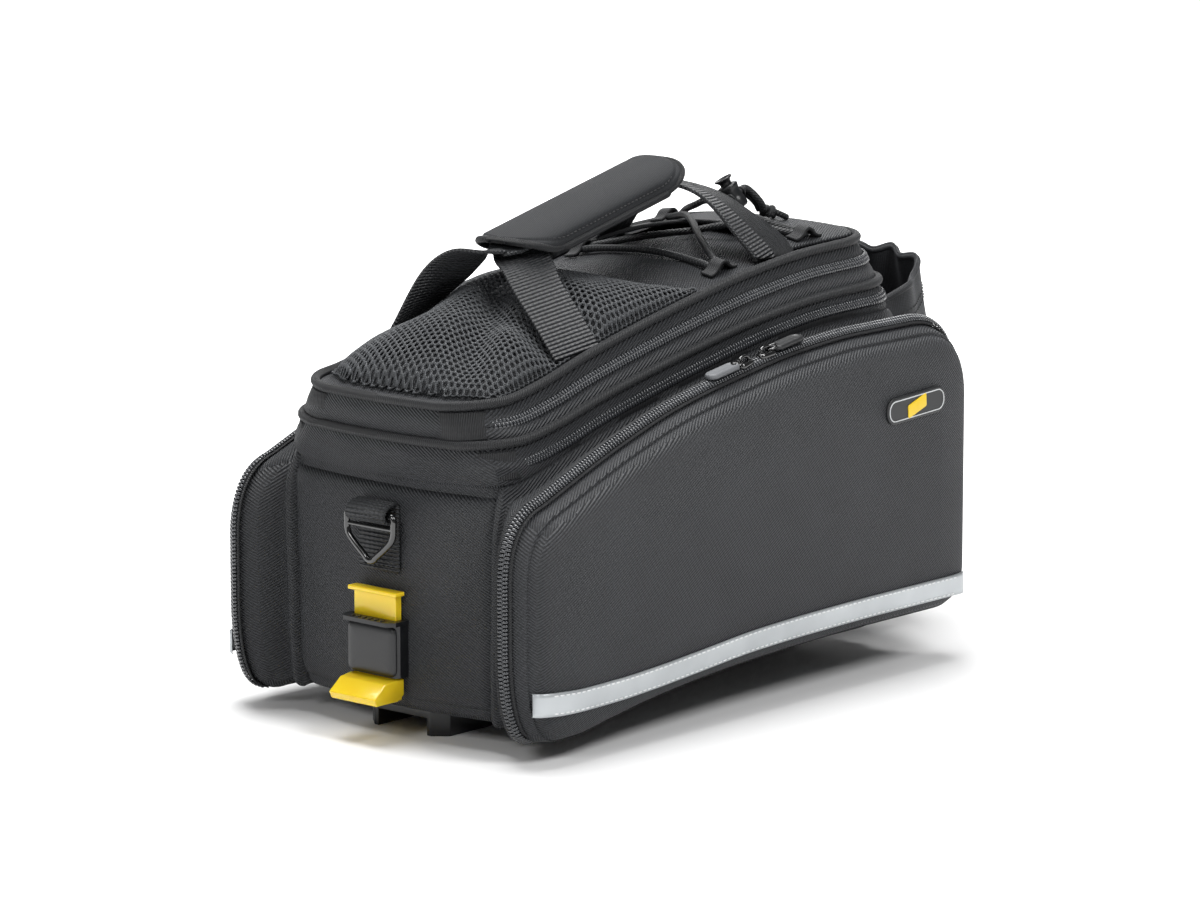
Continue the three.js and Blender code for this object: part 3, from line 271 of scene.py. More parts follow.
# Elastic cord with a braided cover: round, with a fine slanting braid and a slight shine
braid = wovenMaterial(
    "elastic_cord_braided", "#0b0c0d", "#333538",
    {"along": 1.6, "across": 1.6, "turn": 45, "balance": 0.6, "strength": 0.9, "depth": 0.4},
    {**cloth, "Roughness": 0.5})
# Pouch nylon, plain woven: thinner and a little shinier than the twill
nylonCloth = wovenMaterial(
    "nylon_plain_woven", "#101113", "#333539",
    {"along": 0.9, "across": 0.9, "turn": 0, "balance": 0.7, "strength": 0.5, "depth": 0.3},
    {**cloth, "Sheen_Weight": 0.15})

# What the moulded finishes share: how slowly the tone changes, and how the grain moves height and roughness
mouldLook = {"toneScale": 45.0, "depth": 0.0002, "smoother": 0.06, "rougher": 0.08}


def mouldedMaterial(name, colour, grain, **surface):
    # grain: how strong and how large, in mm, the surface's fine texture is
    made, tree, shader = newMaterial(name, **surface)
    look, base = mouldLook, surface["Roughness"]
    spot = addNode(tree, "ShaderNodeTexCoord")
    fine = addNode(tree, "ShaderNodeTexNoise", {"Scale": 1000 / grain["size"], "Detail": 3.0},
                   {"Vector": spot.outputs["Object"]})
    broad = addNode(tree, "ShaderNodeTexNoise", {"Scale": look["toneScale"], "Detail": 2.0},
                    {"Vector": spot.outputs["Object"]})
    tint = addNode(tree, "ShaderNodeMix", {"data_type": "RGBA", 6: linear(colour[0]), 7: linear(colour[1])},
                   {0: broad.outputs["Fac"]})
    worn = addNode(tree, "ShaderNodeMapRange", {
        "To Min": base - look["smoother"], "To Max": base + look["rougher"]}, {"Value": fine.outputs["Fac"]})
    bump = addNode(tree, "ShaderNodeBump", {"Strength": grain["strength"], "Distance": look["depth"]},
                   {"Height": fine.outputs["Fac"]})
    tree.links.new(tint.outputs[2], shader.inputs["Base Color"])
    tree.links.new(worn.outputs[0], shader.inputs["Roughness"])
    tree.links.new(bump.outputs[0], shader.inputs["Normal"])
    return made


# Acetal, injection moulded: bright yellow, smooth and glossy
yellowAcetal = mouldedMaterial(
    "acetal_moulded_yellow", ("#e3bc12", "#f2d42e"), {"size": 3.0, "strength": 0.02},
    Roughness=0.22, IOR=1.48, Subsurface_Weight=0.15, Subsurface_Scale=0.003, Coat_Weight=0.3)
# Glass-filled nylon, injection moulded: satin black with a spark-eroded grain
blackNylon = mouldedMaterial("nylon_moulded_black", ("#0d0e10", "#17181b"), {"size": 0.5, "strength": 0.25},
                             Roughness=0.34, IOR=1.53)
# Steel, black coated: glossy, dark, with soft highlights
blackSteel = mouldedMaterial("steel_black_coated", ("#060607", "#0e0f10"), {"size": 1.2, "strength": 0.05},
                             Roughness=0.16, IOR=1.6, Coat_Weight=0.6)
# Soft PVC, moulded: black and grey pulls, matt
greyRubber = mouldedMaterial("pvc_moulded_grey", ("#5d5f62", "#707275"), {"size": 0.8, "strength": 0.2},
                             Roughness=0.5, IOR=1.52)
blackRubber = mouldedMaterial("pvc_moulded_black", ("#1a1b1c", "#242527"), {"size": 0.6, "strength": 0.25},
                              Roughness=0.48, IOR=1.52)
whiteRubber = mouldedMaterial("pvc_moulded_white", ("#b9bbbd", "#d3d5d6"), {"size": 0.8, "strength": 0.1},
                              Roughness=0.5, IOR=1.52)
yellowRubber = mouldedMaterial("pvc_moulded_yellow", ("#d9b40c", "#ecc81e"), {"size": 0.8, "strength": 0.1},
                               Roughness=0.45, IOR=1.52)
# Nylon zip coil, extruded and wound: glossy black that glints along each tooth
coil = mouldedMaterial("nylon_coil_wound", ("#1f2124", "#3c3e42"), {"size": 3.0, "strength": 0.03},
                       Roughness=0.24, IOR=1.53, Coat_Weight=0.5)
# Glass-bead tape: pale silver, with a soft even shine
reflective = mouldedMaterial("glass_bead_tape", ("#a9adb0", "#c6cacc"), {"size": 0.6, "strength": 0.25},
                             Roughness=0.38, Metallic=0.55)
# Polyester sewing thread, twisted
whiteThread = mouldedMaterial(
    "polyester_thread_white", ("#d8dadb", "#f0f1f1"), {"size": 0.4, "strength": 0.3}, Roughness=0.6, IOR=1.5)
blackThread = mouldedMaterial(
    "polyester_thread_black", ("#0f1011", "#2a2b2d"), {"size": 0.4, "strength": 0.3}, Roughness=0.5, IOR=1.5)
print("materials ready")


# Building pieces

def addPiece(name, points, faces, material, body="bag", nodes=(), slot=None, uv=None, solid=0):
    mesh = bpy.data.meshes.new(name)
    mesh.from_pydata([tuple(p) for p in place(points)], [], [tuple(int(i) for i in f) for f in faces])
    mesh.materials.append(material)
    layer = mesh.uv_layers.new(name="UVMap")
    if uv is not None:
        layer.data.foreach_set("uv", (np.array([c for f in uv for c in f], float) / 1000).ravel())
    else:
        boxMap(mesh, layer)
    mesh.polygons.foreach_set("use_smooth", [True] * len(mesh.polygons))
    mesh.update()
    # faces point out: from the bag's middle for a sheet, or towards it where its thickness is negative
    middle = Vector(place([bag["middle"]])[0]) if solid else mesh.vertices[0].co.copy()
    facing = sum(face.area * face.normal.dot(face.center - middle) for face in mesh.polygons)
    if facing * (solid or 1) < 0:
        mesh.flip_normals()
    piece = bpy.data.objects.new(name, mesh)
    bpy.context.scene.collection.objects.link(piece)
    if solid:
        made = piece.modifiers.new("thickness", "SOLIDIFY")
        made.thickness = abs(solid) / 1000
        made.offset = -1
    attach(piece, body)
    if nodes:
        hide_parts(*nodes)
    return piece


def boxMap(mesh, layer):
    # each face takes its cloth from the side that it faces most, so the weave keeps its real size
    points = np.zeros(len(mesh.vertices) * 3)
    mesh.vertices.foreach_get("co", points)
    points = points.reshape(-1, 3)
    out = np.zeros((len(mesh.loops), 2))
    for face in mesh.polygons:
        n = [abs(v) for v in face.normal]
        a, b = ((1, 2), (0, 2), (0, 1))[n.index(max(n))]
        for k in face.loop_indices:
            p = points[mesh.loops[k].vertex_index]
            out[k] = p[a], p[b]
    layer.data.foreach_set("uv", out.ravel())


def gridMesh(grid, closedAcross=False, closedAlong=False, capped=False):
    # grid[row][column]; rows run along, columns across. Gives points, faces and each corner's place in mm
    grid = np.asarray(grid, float)
    rows, cols = grid.shape[:2]
    wide = np.linalg.norm(np.diff(np.concatenate([grid, grid[:, :1]], 1), axis=1), axis=2)
    long = np.linalg.norm(np.diff(np.concatenate([grid, grid[:1]], 0), axis=0), axis=2)
    across = np.concatenate([np.zeros((rows, 1)), np.cumsum(wide, 1)], 1)
    along = np.concatenate([np.zeros((1, cols)), np.cumsum(long, 0)], 0)
    faces, uv = [], []
    for r in range(rows if closedAlong else rows - 1):
        for c in range(cols if closedAcross else cols - 1):
            rn, cn = (r + 1) % rows, (c + 1) % cols
            faces.append((r * cols + c, r * cols + cn, rn * cols + cn, rn * cols + c))
            uv.append([(along[r][c], across[r][c]), (along[r][cn], across[r][c + 1]),
                       (along[r + 1][cn], across[rn][c + 1]), (along[r + 1][c], across[rn][c])])
    if capped:
        faces.append(tuple(range(cols))[::-1])
        uv.append([(0, 0)] * cols)
        faces.append(tuple((rows - 1) * cols + c for c in range(cols)))
        uv.append([(0, 0)] * cols)
    return grid.reshape(-1, 3), faces, uv


def addGrid(name, grid, material, closedAcross=False, closedAlong=False, capped=False, threads=False, **more):
    points, faces, uv = gridMesh(grid, closedAcross, closedAlong, capped)
    return addPiece(name, points, faces, material, uv=uv if threads else None, **more)


def sweep(path, across, out, section):
    # a section of [across, out] pairs carried along a path
    section = np.array(section, float)
    aside = across[:, None, :] * section[None, :, :1]
    return path[:, None, :] + aside + out[:, None, :] * section[None, :, 1:]


def roundSection(radius, sides=10, flat=1.0, lift=0.0):
    turn = np.linspace(0, 2 * math.pi, sides, endpoint=False)
    return np.stack([radius * np.cos(turn), radius * flat * np.sin(turn) + lift], 1)


def tube(path, radius, sides=10, closed=False):
    # a round tube along a path, its section carried without twisting
    path = np.asarray(path, float)
    along = alongOf(path, closed)
    up = np.array([0, 0, 1.0]) if abs(along[0][2]) < 0.9 else np.array([0, 1.0, 0])
    frames = []
    for t in along:
        up = unit(up - t * (up @ t))
        frames.append(up)
    frames = np.array(frames)
    return sweep(path, unit(np.cross(along, frames)), frames, roundSection(radius, sides))


# One stitch: where its rings lie along it, how far each dips and how thick it is there
stitch = {"along": (-0.5, -0.3, 0, 0.3, 0.5), "dips": (-0.6, 0.0, 0.12, 0.0, -0.6),
          "thick": (0.5, 0.95, 1.0, 0.95, 0.5), "lift": 0.15}


def stitchRow(path, out, length=2.6, pitch=4.0, radius=0.38):
    # separate stitches along a line: each a short thread that dips at its ends
    total, far = lineLength(path), distances(path)
    count = max(int(total / pitch), 1)
    points, faces = [], []
    for k in range(count):
        at = (k + 0.5) * total / count + np.array(stitch["along"]) * length
        mid = readAlong(path, far, at)
        n = unit(readAlong(out, far, at))
        t = unit(mid[-1] - mid[0])
        side = unit(np.cross(t, n))
        for j, (dip, thick) in enumerate(zip(stitch["dips"], stitch["thick"])):
            for turn in range(6):
                a = turn * math.pi / 3
                rise = stitch["lift"] + dip * radius + radius * thick * math.sin(a)
                points.append(mid[j] + n[j] * rise + side[j] * radius * thick * math.cos(a))
        base = k * 30
        for ring in range(base, base + 24, 6):
            faces += [(ring + i, ring + (i + 1) % 6, ring + 6 + (i + 1) % 6, ring + 6 + i) for i in range(6)]
        faces += [tuple(base + i for i in range(6))[::-1], tuple(base + 24 + i for i in range(6))]
    return np.array(points), faces


def addStitches(name, rows, material=None, **how):
    points, faces = [], []
    for path, out in rows:
        p, f = stitchRow(np.asarray(path, float), np.asarray(out, float), **how)
        base = sum(len(q) for q in points)
        points.append(p)
        faces += [tuple(i + base for i in face) for face in f]
    addPiece(name, np.concatenate(points), faces, material or blackThread)


def flipSides(points):
    return np.asarray(points, float) * np.array([1, -1, 1])


# The bag's own lines, the same as the solids have. Each level round it has its height in front and behind,
# its half width, how far its two ends draw in and the radii of its corners.

levelKeys = ("front", "rear", "half", "frontIn", "rearIn", "frontRadius", "rearRadius")
levelRows = {"base": (9, 9, 74, 3, 0, 12, 24), "seam": (134, 195, 80, 2, 0, 18, 28),
             "lowZip": (149, 202, 78, 1.5, 1, 21, 28), "cord": (160, 210, 75, 0, 2, 26, 30),
             "topZip": (169.5, 223, 69.5, 0, 4, 27, 32), "lid": (180, 234, 64, 0, 7, 27, 32)}
levels = {name: dict(zip(levelKeys, row)) for name, row in levelRows.items()}
footTop = bag["bottom"] + bag["foot"]
# how the lines rise from front to rear, as shares
sideShares = [0, 0.08, 0.16, 0.25, 0.35, 0.5, 0.65, 0.8, 1]
sideProfile = {
    "lid": [0, 0.03, 0.13, 0.3, 0.46, 0.67, 0.85, 0.96, 1],
    "seam": [0.03, 0.13, 0.25, 0.38, 0.51, 0.7, 0.87, 0.95, 1],
    "top": [0, 0.17, 0.34, 0.51, 0.67, 0.83, 0.95, 1, 1],
    "bottom": [0.02, 0, 0.2, 0.45, 0.65, 0.85, 0.95, 1, 1],
    "stripe": [0.1, 0, 0.02, 0.15, 0.4, 0.8, 0.95, 1, 1],
}
profiles = {key: curveThrough(sideShares, values) for key, values in sideProfile.items()}


def shareAt(x):
    return np.clip((np.asarray(x, float) - bag["front"]) / (bag["rear"] - bag["front"]), 0, 1)


def heightAt(level, x, column="lid"):
    return mix(level["front"], level["rear"], profiles[column](shareAt(x)))


planSteps = {"front": 14, "corner": 14, "side": 84, "rearCorner": 14, "rear": 8}


def halfPlan(level, inset=0.0):
    half = level["half"] - inset
    fr, rr = max(level["frontRadius"] - inset, 1), max(level["rearRadius"] - inset, 1)
    rear = bag["rear"] - level["rearIn"] - inset
    face = lambda y: bag["front"] + level["frontIn"] + inset + bag["bow"] * (y / levels["seam"]["half"]) ** 2
    n = planSteps
    rows = [(face(y), y) for y in -np.linspace(0, half - fr, n["front"], endpoint=False)]
    corner = face(half - fr) + fr
    for a in np.linspace(math.pi, 1.5 * math.pi, n["corner"]):
        rows.append((corner + fr * math.cos(a), -(half - fr) + fr * math.sin(a)))
    for x in np.linspace(corner, rear - rr, n["side"] + 1)[1:-1]:
        rows.append((x, -half))
    for a in np.linspace(1.5 * math.pi, 2 * math.pi, n["rearCorner"]):
        rows.append((rear - rr + rr * math.cos(a), -(half - rr) + rr * math.sin(a)))
    for y in np.linspace(-(half - rr), 0, n["rear"] + 1)[1:]:
        rows.append((rear, y))
    return np.array(rows)


def ringAt(level, inset=0.0, lift=0.0, column="lid"):
    near = halfPlan(level, inset)
    flat = np.concatenate([near, near[1:-1][::-1] * np.array([1, -1])])
    return np.concatenate([flat, (heightAt(level, flat[:, 0], column) + lift)[:, None]], 1)


def outward(ring):
    t = alongOf(ring[:, :2], True)
    n = np.stack([t[:, 1], -t[:, 0], np.zeros(len(t))], 1)
    return n * np.sign((n * ring * [1, 1, 0]).sum(1).mean())


def lidTop(x, y):
    across = np.clip(np.abs(y) / levels["lid"]["half"], 0, 1)
    dome = bag["crown"] * (1 - across**2) * np.sin(math.pi * shareAt(x)) ** 0.5
    return heightAt(levels["lid"], x) + dome


# The tub: a padded wall, its bands puffed between the seams

tub = {"wall": 4, "sidePuff": 1.6, "basePuff": 0.6, "frontPuff": 4.6, "upperPuff": 3.4, "collarPuff": 2.6,
       "round": 0.6, "foldSize": 22, "foldHeight": 1.3}


def atFront(ring):
    return 1 - smooth(-160, -120, ring[:, 0])


def buildTub():
    base, seam, low, cord, top = (levels[k] for k in ("base", "seam", "lowZip", "cord", "topZip"))
    rings = {"base": ringAt(base, 0, bag["foot"]), "seam": ringAt(seam, 0, 0, "seam"), "lowZip": ringAt(low),
             "cord": ringAt(cord), "topZip": ringAt(top, 0, -0.3)}
    grid = [ringAt(base, bag["foot"] * (1 - math.sin(a)), bag["foot"] * (1 - math.cos(a)))
            for a in np.linspace(0, math.pi / 2, 6)][:-1]
    # the bands puff between their seams; on the front each band takes two steps, as no zip runs there
    steps = [("base", "seam", tub["sidePuff"], tub["basePuff"], (0, 1), 16),
             ("seam", "lowZip", tub["sidePuff"], tub["frontPuff"], (0, 0.5), 8),
             ("lowZip", "cord", tub["collarPuff"], tub["frontPuff"], (0.5, 1), 8),
             ("cord", "topZip", tub["collarPuff"], tub["upperPuff"], (0, 0.5), 8)]
    for lowName, highName, side, front, part, count in steps:
        for t in np.linspace(0, 1, count, endpoint=False):
            ring = mix(rings[lowName], rings[highName], t)
            sidePuff = side * math.sin(math.pi * t) ** tub["round"]
            frontPuff = front * math.sin(math.pi * mix(*part, t)) ** tub["round"]
            fold = ruffle(ring, tub["foldSize"], tub["foldHeight"], 3) * math.sin(math.pi * t)
            puff = mix(sidePuff, frontPuff, atFront(ring)) + fold * (0.35 + atFront(ring))
            grid.append(ring + outward(ring) * puff[:, None])
    rim = rings["topZip"]
    grid.append(rim + outward(rim) * (tub["upperPuff"] * atFront(rim))[:, None])
    grid.append(ringAt(top, tub["wall"], -0.3))
    grid += [ringAt(base, tub["wall"], bag["foot"] + 4), ringAt(base, 12, 4)]
    addGrid("tub", grid, twill, closedAcross=True, capped=True, nodes=("body_shell",), slot="twill")


buildTub()
print("tub built")

# The lid: a short skirt and a soft dome, hollow below

lid = {"wall": 4, "skirtPuff": 1.8, "foldSize": 26, "foldHeight": 1.6,
       "rings": [0.985, 0.96, 0.92, 0.86, 0.78, 0.68, 0.57, 0.45, 0.33, 0.21, 0.1]}


def buildLid():
    top, edge = ringAt(levels["topZip"], 0, 0.3), ringAt(levels["lid"])
    grid = [ringAt(levels["topZip"], lid["wall"], 0.3)]
    for t in np.linspace(0, 1, 10):
        ring = mix(top, edge, t)
        sidePuff = lid["skirtPuff"] * math.sin(math.pi * t) ** 0.7
        frontPuff = tub["upperPuff"] * math.cos(math.pi * t / 2) ** 0.6
        grid.append(ring + outward(ring) * mix(sidePuff, frontPuff, atFront(ring))[:, None])
    flat = ringAt(levels["lid"])[:, :2]
    for share in lid["rings"]:
        xy = np.stack([flat[:, 0] * mix(0.8, 1, share), flat[:, 1] * share], 1)
        z = lidTop(xy[:, 0], xy[:, 1])
        ring = np.concatenate([xy, z[:, None]], 1)
        # the cloth is slack behind the net and ahead of the rear edge
        slack = smooth(0, 40, ring[:, 0]) * (1 - smooth(95, 130, ring[:, 0]))
        ring[:, 2] += ruffle(ring, lid["foldSize"], lid["foldHeight"], 9) * slack
        grid.append(ring)
    points, faces, uv = gridMesh(grid, closedAcross=True)
    last = (len(grid) - 1) * len(flat)
    half = len(flat) // 2
    for i in range(half):   # rungs close the middle, from the near side to the far side
        a, b, c, d = i, i + 1, (len(flat) - i - 1) % len(flat), (len(flat) - i) % len(flat)
        face = [last + k for k in dict.fromkeys((a, b, c, d))]
        if len(face) > 2:
            faces.append(tuple(face))
    addPiece("lid", points, faces, twill, nodes=("lid_shell",), slot="twill")


buildLid()
print("lid built")


# Piping and zips follow the skin between two levels

def skin(level, below, above, belowColumn="lid"):
    low, at, high = ringAt(below, 0, 0, belowColumn), ringAt(level), ringAt(above)
    t = alongOf(at, True)
    up = high - low
    across = unit(up - t * (up * t).sum(1, keepdims=True))
    out = unit(np.cross(across, t))
    flip = np.sign((out * at * [0.5, 1, 0]).sum(1, keepdims=True))
    return at, across, out * np.where(flip == 0, 1, flip)


piping = {"radius": 2.6}


def addPiping(name, node, level, below, above, lift):
    at, across, out = skin(level, below, above)
    section = roundSection(piping["radius"], 12, lift=piping["radius"] + lift)
    addGrid(name, sweep(at, across, out, section), binding, closedAcross=True, closedAlong=True, threads=True,
            nodes=(node,), slot="binding")


beyond = {k: mix(levels["topZip"][k], levels["lid"][k], 2) for k in levels["lid"]}
addPiping("lidPiping", "lid_piping", levels["lid"], levels["topZip"], beyond, 0.2)
addPiping("collarPiping", "collar_piping", levels["cord"], levels["lowZip"], levels["topZip"], 0.2)

# Real teeth are finer; these are 2.1 mm apart so that they show
zipSize = {"tape": 12, "pitch": 2.1, "wide": 1.65, "lift": 0.75, "sink": 2.2, "sinkOver": 12,
           "toothHigh": 0.75}
# one tooth from the tape to past the middle, as reach, height and fatness, and its five-sided section
toothRings = [(3.0, 0.2, 0.8), (2.3, 1.3, 1.0), (1.0, 1.75, 1.0), (-0.25, 1.5, 0.9), (-0.6, 0.6, 0.6)]
toothSection = [(-1, -0.3), (-0.8, 0.75), (0.8, 0.75), (1, -0.3), (0, -0.8)]


def zipTeeth(path, across, out, size):
    # two rows of bent bars that meet in the middle, each like one turn of a wound coil
    total, far = lineLength(path), distances(path)
    count = int(total / size["pitch"])
    points, faces = [], []
    for k in range(count):
        for side in (-1, 1):
            at = [(k + (0.25 if side > 0 else 0.75)) * total / count]
            p, a, n = (readAlong(v, far, at)[0] for v in (path, across, out))
            a, n = unit(a), unit(n)
            t = unit(np.cross(a, n))
            base = len(points)
            for reach, high, fat in toothRings:
                w, h = size["wide"] / 2 * fat, size["toothHigh"] * fat
                middle = p + a * (side * reach) + n * (size["lift"] + 1.0 + high * 0.62)
                points += [middle + t * (w * u) + n * (h * v) for u, v in toothSection]
            for s in range(base, base + 20, 5):
                for i in range(5):
                    j = (i + 1) % 5
                    face = (s + i, s + j, s + 5 + j, s + 5 + i)
                    faces.append(face if side > 0 else face[::-1])
            ends = [tuple(base + i for i in range(5))[::-1], tuple(base + 20 + i for i in range(5))]
            faces += ends if side > 0 else [e[::-1] for e in ends]
    return np.array(points), faces


def addZip(name, node, path, across, out, size, mirrored=False):
    count = int(lineLength(path) / 3)
    far = distances(path)
    at = np.linspace(0, far[-1], count)
    path, across, out = (readAlong(v, far, at) for v in (path, across, out))
    # both ends sink under what is sewn over them
    toEnd = np.minimum(at, far[-1] - at)
    path = path - out * (size["sink"] * (1 - smooth(0, size["sinkOver"], toEnd)))[:, None]
    half, lift = size["tape"] / 2, size["lift"]
    section = [(-half, lift - 0.3), (half, lift - 0.3), (half, lift + 0.5), (3.4, lift + 0.7),
               (2.2, lift + 0.5), (0, lift + 0.45), (-2.2, lift + 0.5), (-3.4, lift + 0.7),
               (-half, lift + 0.5)]
    tape = sweep(path, across, out, section)
    points, faces = zipTeeth(path, across, out, size)
    if mirrored:
        tape, points = flipSides(tape), flipSides(points)
    addPiece(name + "Teeth", points, faces, coil)
    addGrid(name + "Tape", tape, binding, closedAcross=True, capped=True, threads=True, nodes=(node,),
            slot="zip_coil")


def zipRound(name, node, level, below, above, belowColumn, corner):
    at, across, out = skin(levels[level], levels[below], levels[above], belowColumn)
    keep = slice(corner, len(at) - corner + 1)
    addZip(name, node, at[keep], across[keep], out[keep], zipSize)
    return at, across, out


cornerAt = planSteps["front"]
lidLine = zipRound("lidZip", "lid_zip", "topZip", "cord", "lid", "lid", cornerAt + 5)
collarLine = zipRound("collarZip", "collar_zip", "lowZip", "seam", "cord", "seam", cornerAt + 8)
print("zips and piping built")

# Cloth tabs over the ends of both zips, wrapped round the bag's front corners
endTab = {"width": 15.5, "thick": 2.6}


def addTab(name, node, line, first, last):
    path, a, n = (v[first:last + 1] for v in line)
    w, t = endTab["width"] / 2, endTab["thick"]
    section = np.array([(-w, 0.4), (-w, t), (-w + 0.8, t + 0.6), (0, t + 0.9), (w - 0.8, t + 0.6), (w, t),
                        (w, 0.4)])
    grid = []
    for i in range(len(path)):
        # the first and the last ring are lower, so the tab's ends are rounded
        high = 0.4 + (section[:, 1:] - 0.4) * (0.55 if i in (0, len(path) - 1) else 1)
        grid.append(path[i] + a[i] * section[:, :1] + n[i] * high)
    for end, turn in (("Near", np.array), ("Far", flipSides)):
        addGrid(name + end, turn(grid), binding, closedAcross=True, capped=True, threads=True,
                nodes=(node + "_" + end.lower(),), slot="binding")


addTab("lidTab", "lid_zip_tab", lidLine, cornerAt - 1, cornerAt + 8)
addTab("collarTab", "collar_zip_tab", collarLine, cornerAt + 2, cornerAt + 11)
print("tabs built")

# The front panel: padded cloth with a soft rolled edge
frontPad = {"thick": 3.4, "top": 133, "low": footTop, "reach": cornerAt + 7}


def buildFrontPanel():
    base, seam = levels["base"], levels["seam"]
    reach, rows = frontPad["reach"], 40
    grid = []
    for share in np.linspace(0, 1, rows):
        z = mix(frontPad["low"], frontPad["top"], share)
        up = (z - footTop) / (heightAt(seam, bag["front"], "seam") - footTop)
        near = mix(halfPlan(base), halfPlan(seam), up)[:reach + 2]
        line = np.concatenate([near[1:][::-1] * np.array([1, -1]), near])
        line = np.concatenate([line, np.full((len(line), 1), z)], 1)
        t = alongOf(line)
        n = np.stack([t[:, 1], -t[:, 0], np.zeros(len(t))], 1)
        n *= np.sign((n * line * [1, 1, 0]).sum(1).mean())
        across = np.abs(np.arange(len(line)) - (len(line) - 1) / 2) / (len(line) / 2 - 0.5)
        puff = min(1, 9 * share, 14 * (1 - share)) ** 0.5 * (1 - across**14)
        grid.append(line + n * (0.2 + frontPad["thick"] * puff + ruffle(line, 30, 0.5, 5))[:, None])
    addGrid("frontPad", grid, twill, solid=2.5, nodes=("front_panel",), slot="twill")


buildFrontPanel()


def buildFrontBand():
    # one padded band over the front of the lid's joint, from the collar piping to the lid piping
    low, high, reach = ringAt(levels["cord"]), ringAt(levels["lid"]), cornerAt + 3
    grid = []
    for share in np.linspace(0.04, 0.97, 24):
        ring = mix(low, high, share)
        n = outward(ring)
        rows = np.concatenate([np.arange(reach, 0, -1), -np.arange(0, reach + 1)])
        across = np.linspace(-1, 1, len(rows))
        puff = 0.5 + tub["upperPuff"] * math.sin(math.pi * share) ** 0.6 * (1 - across**10)
        line = ring[rows]
        grid.append(line + n[rows] * (puff + ruffle(line, 22, 1.0, 6) * math.sin(math.pi * share))[:, None])
    addGrid("frontBand", grid, twill, solid=1.2, slot="twill")


buildFrontBand()
print("front panel built")

# Side pockets
pocket = {"front": -185, "rear": 190, "topFront": 127, "topRear": 191, "bottomFront": 4, "bottomRear": 23,
          "corner": 26, "rearCorner": 40, "toe": 2.1, "zipAt": 99}
outlineSteps = {"corner": 16, "rise": 16, "run": 70}


def pocketTop(x):
    return mix(pocket["topFront"], pocket["topRear"], profiles["top"](shareAt(x)))


def pocketBottom(x):
    return mix(pocket["bottomFront"], pocket["bottomRear"], profiles["bottom"](shareAt(x)))


def pocketOutline(inset, low=None):
    low = inset if low is None else low
    front, rear = pocket["front"] + inset, pocket["rear"] - low
    radius = max(pocket["corner"] - inset * 0.5, 6)
    top, bottom = (lambda x: float(pocketTop(x)) - inset), (lambda x: float(pocketBottom(x)) + low)
    toe, shoulder = bottom(front) + radius * pocket["toe"], top(front) - radius * 1.3
    rearRadius = radius + pocket["rearCorner"] - pocket["corner"]
    nearX, fallX, farX = front + radius, rear - rearRadius, rear - radius

    def corner(a, m, b):
        t = ((np.arange(outlineSteps["corner"]) + 0.5) / outlineSteps["corner"])[:, None]
        return (1 - t) ** 2 * np.array(a) + 2 * t * (1 - t) * np.array(m) + t**2 * np.array(b)

    def run(a, b, edge):
        return np.array([(x, edge(x)) for x in np.linspace(a, b, outlineSteps["run"])])

    def rise(x, a, b):
        n = outlineSteps["rise"]
        return np.stack([np.full(n, x), np.linspace(a, b, n)], 1)
    return np.concatenate([
        corner((nearX, bottom(nearX)), (front, bottom(front)), (front, toe)), rise(front, toe, shoulder),
        corner((front, shoulder), (front, top(front)), (nearX, top(nearX))), run(nearX, fallX, top),
        corner((fallX, top(fallX)), (rear, top(rear)), (rear, top(rear) - rearRadius)),
        rise(rear, top(rear) - rearRadius, bottom(rear) + radius),
        corner((rear, bottom(rear) + radius), (rear, bottom(rear)), (farX, bottom(farX))),
        run(farX, nearX, bottom)])


def ringOut(outline, out):
    return np.stack([outline[:, 0], np.full(len(outline), -float(out)), outline[:, 1]], 1)


def outlineNormal(outline):
    t = alongOf(outline, True)
    n = np.stack([t[:, 1], -t[:, 0]], 1)
    middle = outline.mean(0)
    return n * np.sign((n * (outline - middle)).sum(1).mean())


def wallAt(x, z):
    # how far the tub's wall is from the middle, at a place on its side
    seamZ = heightAt(levels["seam"], x, "seam")
    share = np.clip((z - footTop) / (seamZ - footTop), 0, 1)
    out = np.zeros(len(x))
    side = slice(planSteps["front"], -planSteps["rear"])
    for i, (xi, s) in enumerate(zip(x, share)):
        line = mix(halfPlan(levels["base"]), halfPlan(levels["seam"]), s)[side]
        order = np.argsort(line[:, 0])
        out[i] = np.interp(xi, line[order, 0], -line[order, 1])
    return out


gusset = {"crease": 0.36, "groove": 3.4, "innerPuff": 4.5, "outerPuff": 2.6, "rows": 22, "foldSize": 26,
          "foldHeight": 1.4}


def buildGusset():
    outline = pocketOutline(0)
    held = np.clip(outline[:, 0], bag["front"] + 13, bag["rear"] - 8)
    low, high = pocketBottom(held), pocketTop(held)
    z = mix(low, heightAt(levels["seam"], held, "seam") - 3, (outline[:, 1] - low) / (high - low))
    z = np.maximum(z, bag["bottom"] + 4)
    root = np.stack([held, -(wallAt(held, z) - 3), z], 1)
    rim = ringOut(outline, pocket["zipAt"] - 0.3)
    n2 = outlineNormal(outline)
    n = np.stack([n2[:, 0], np.zeros(len(n2)), n2[:, 1]], 1)
    grid = []
    c = gusset["crease"]
    for t in np.linspace(0, 1, gusset["rows"]):
        if t < c:
            off = gusset["innerPuff"] * math.sin(math.pi * t / c) ** 0.8 - gusset["groove"] * (t / c) ** 3
        else:
            s = (t - c) / (1 - c)
            off = gusset["outerPuff"] * math.sin(math.pi * s) ** 0.8 - gusset["groove"] * (1 - s) ** 3
        ring = mix(root, rim, t)
        fold = ruffle(ring, gusset["foldSize"], gusset["foldHeight"], 14) * math.sin(math.pi * t)
        grid.append(ring + n * (off + fold)[:, None])
    return np.array(grid)


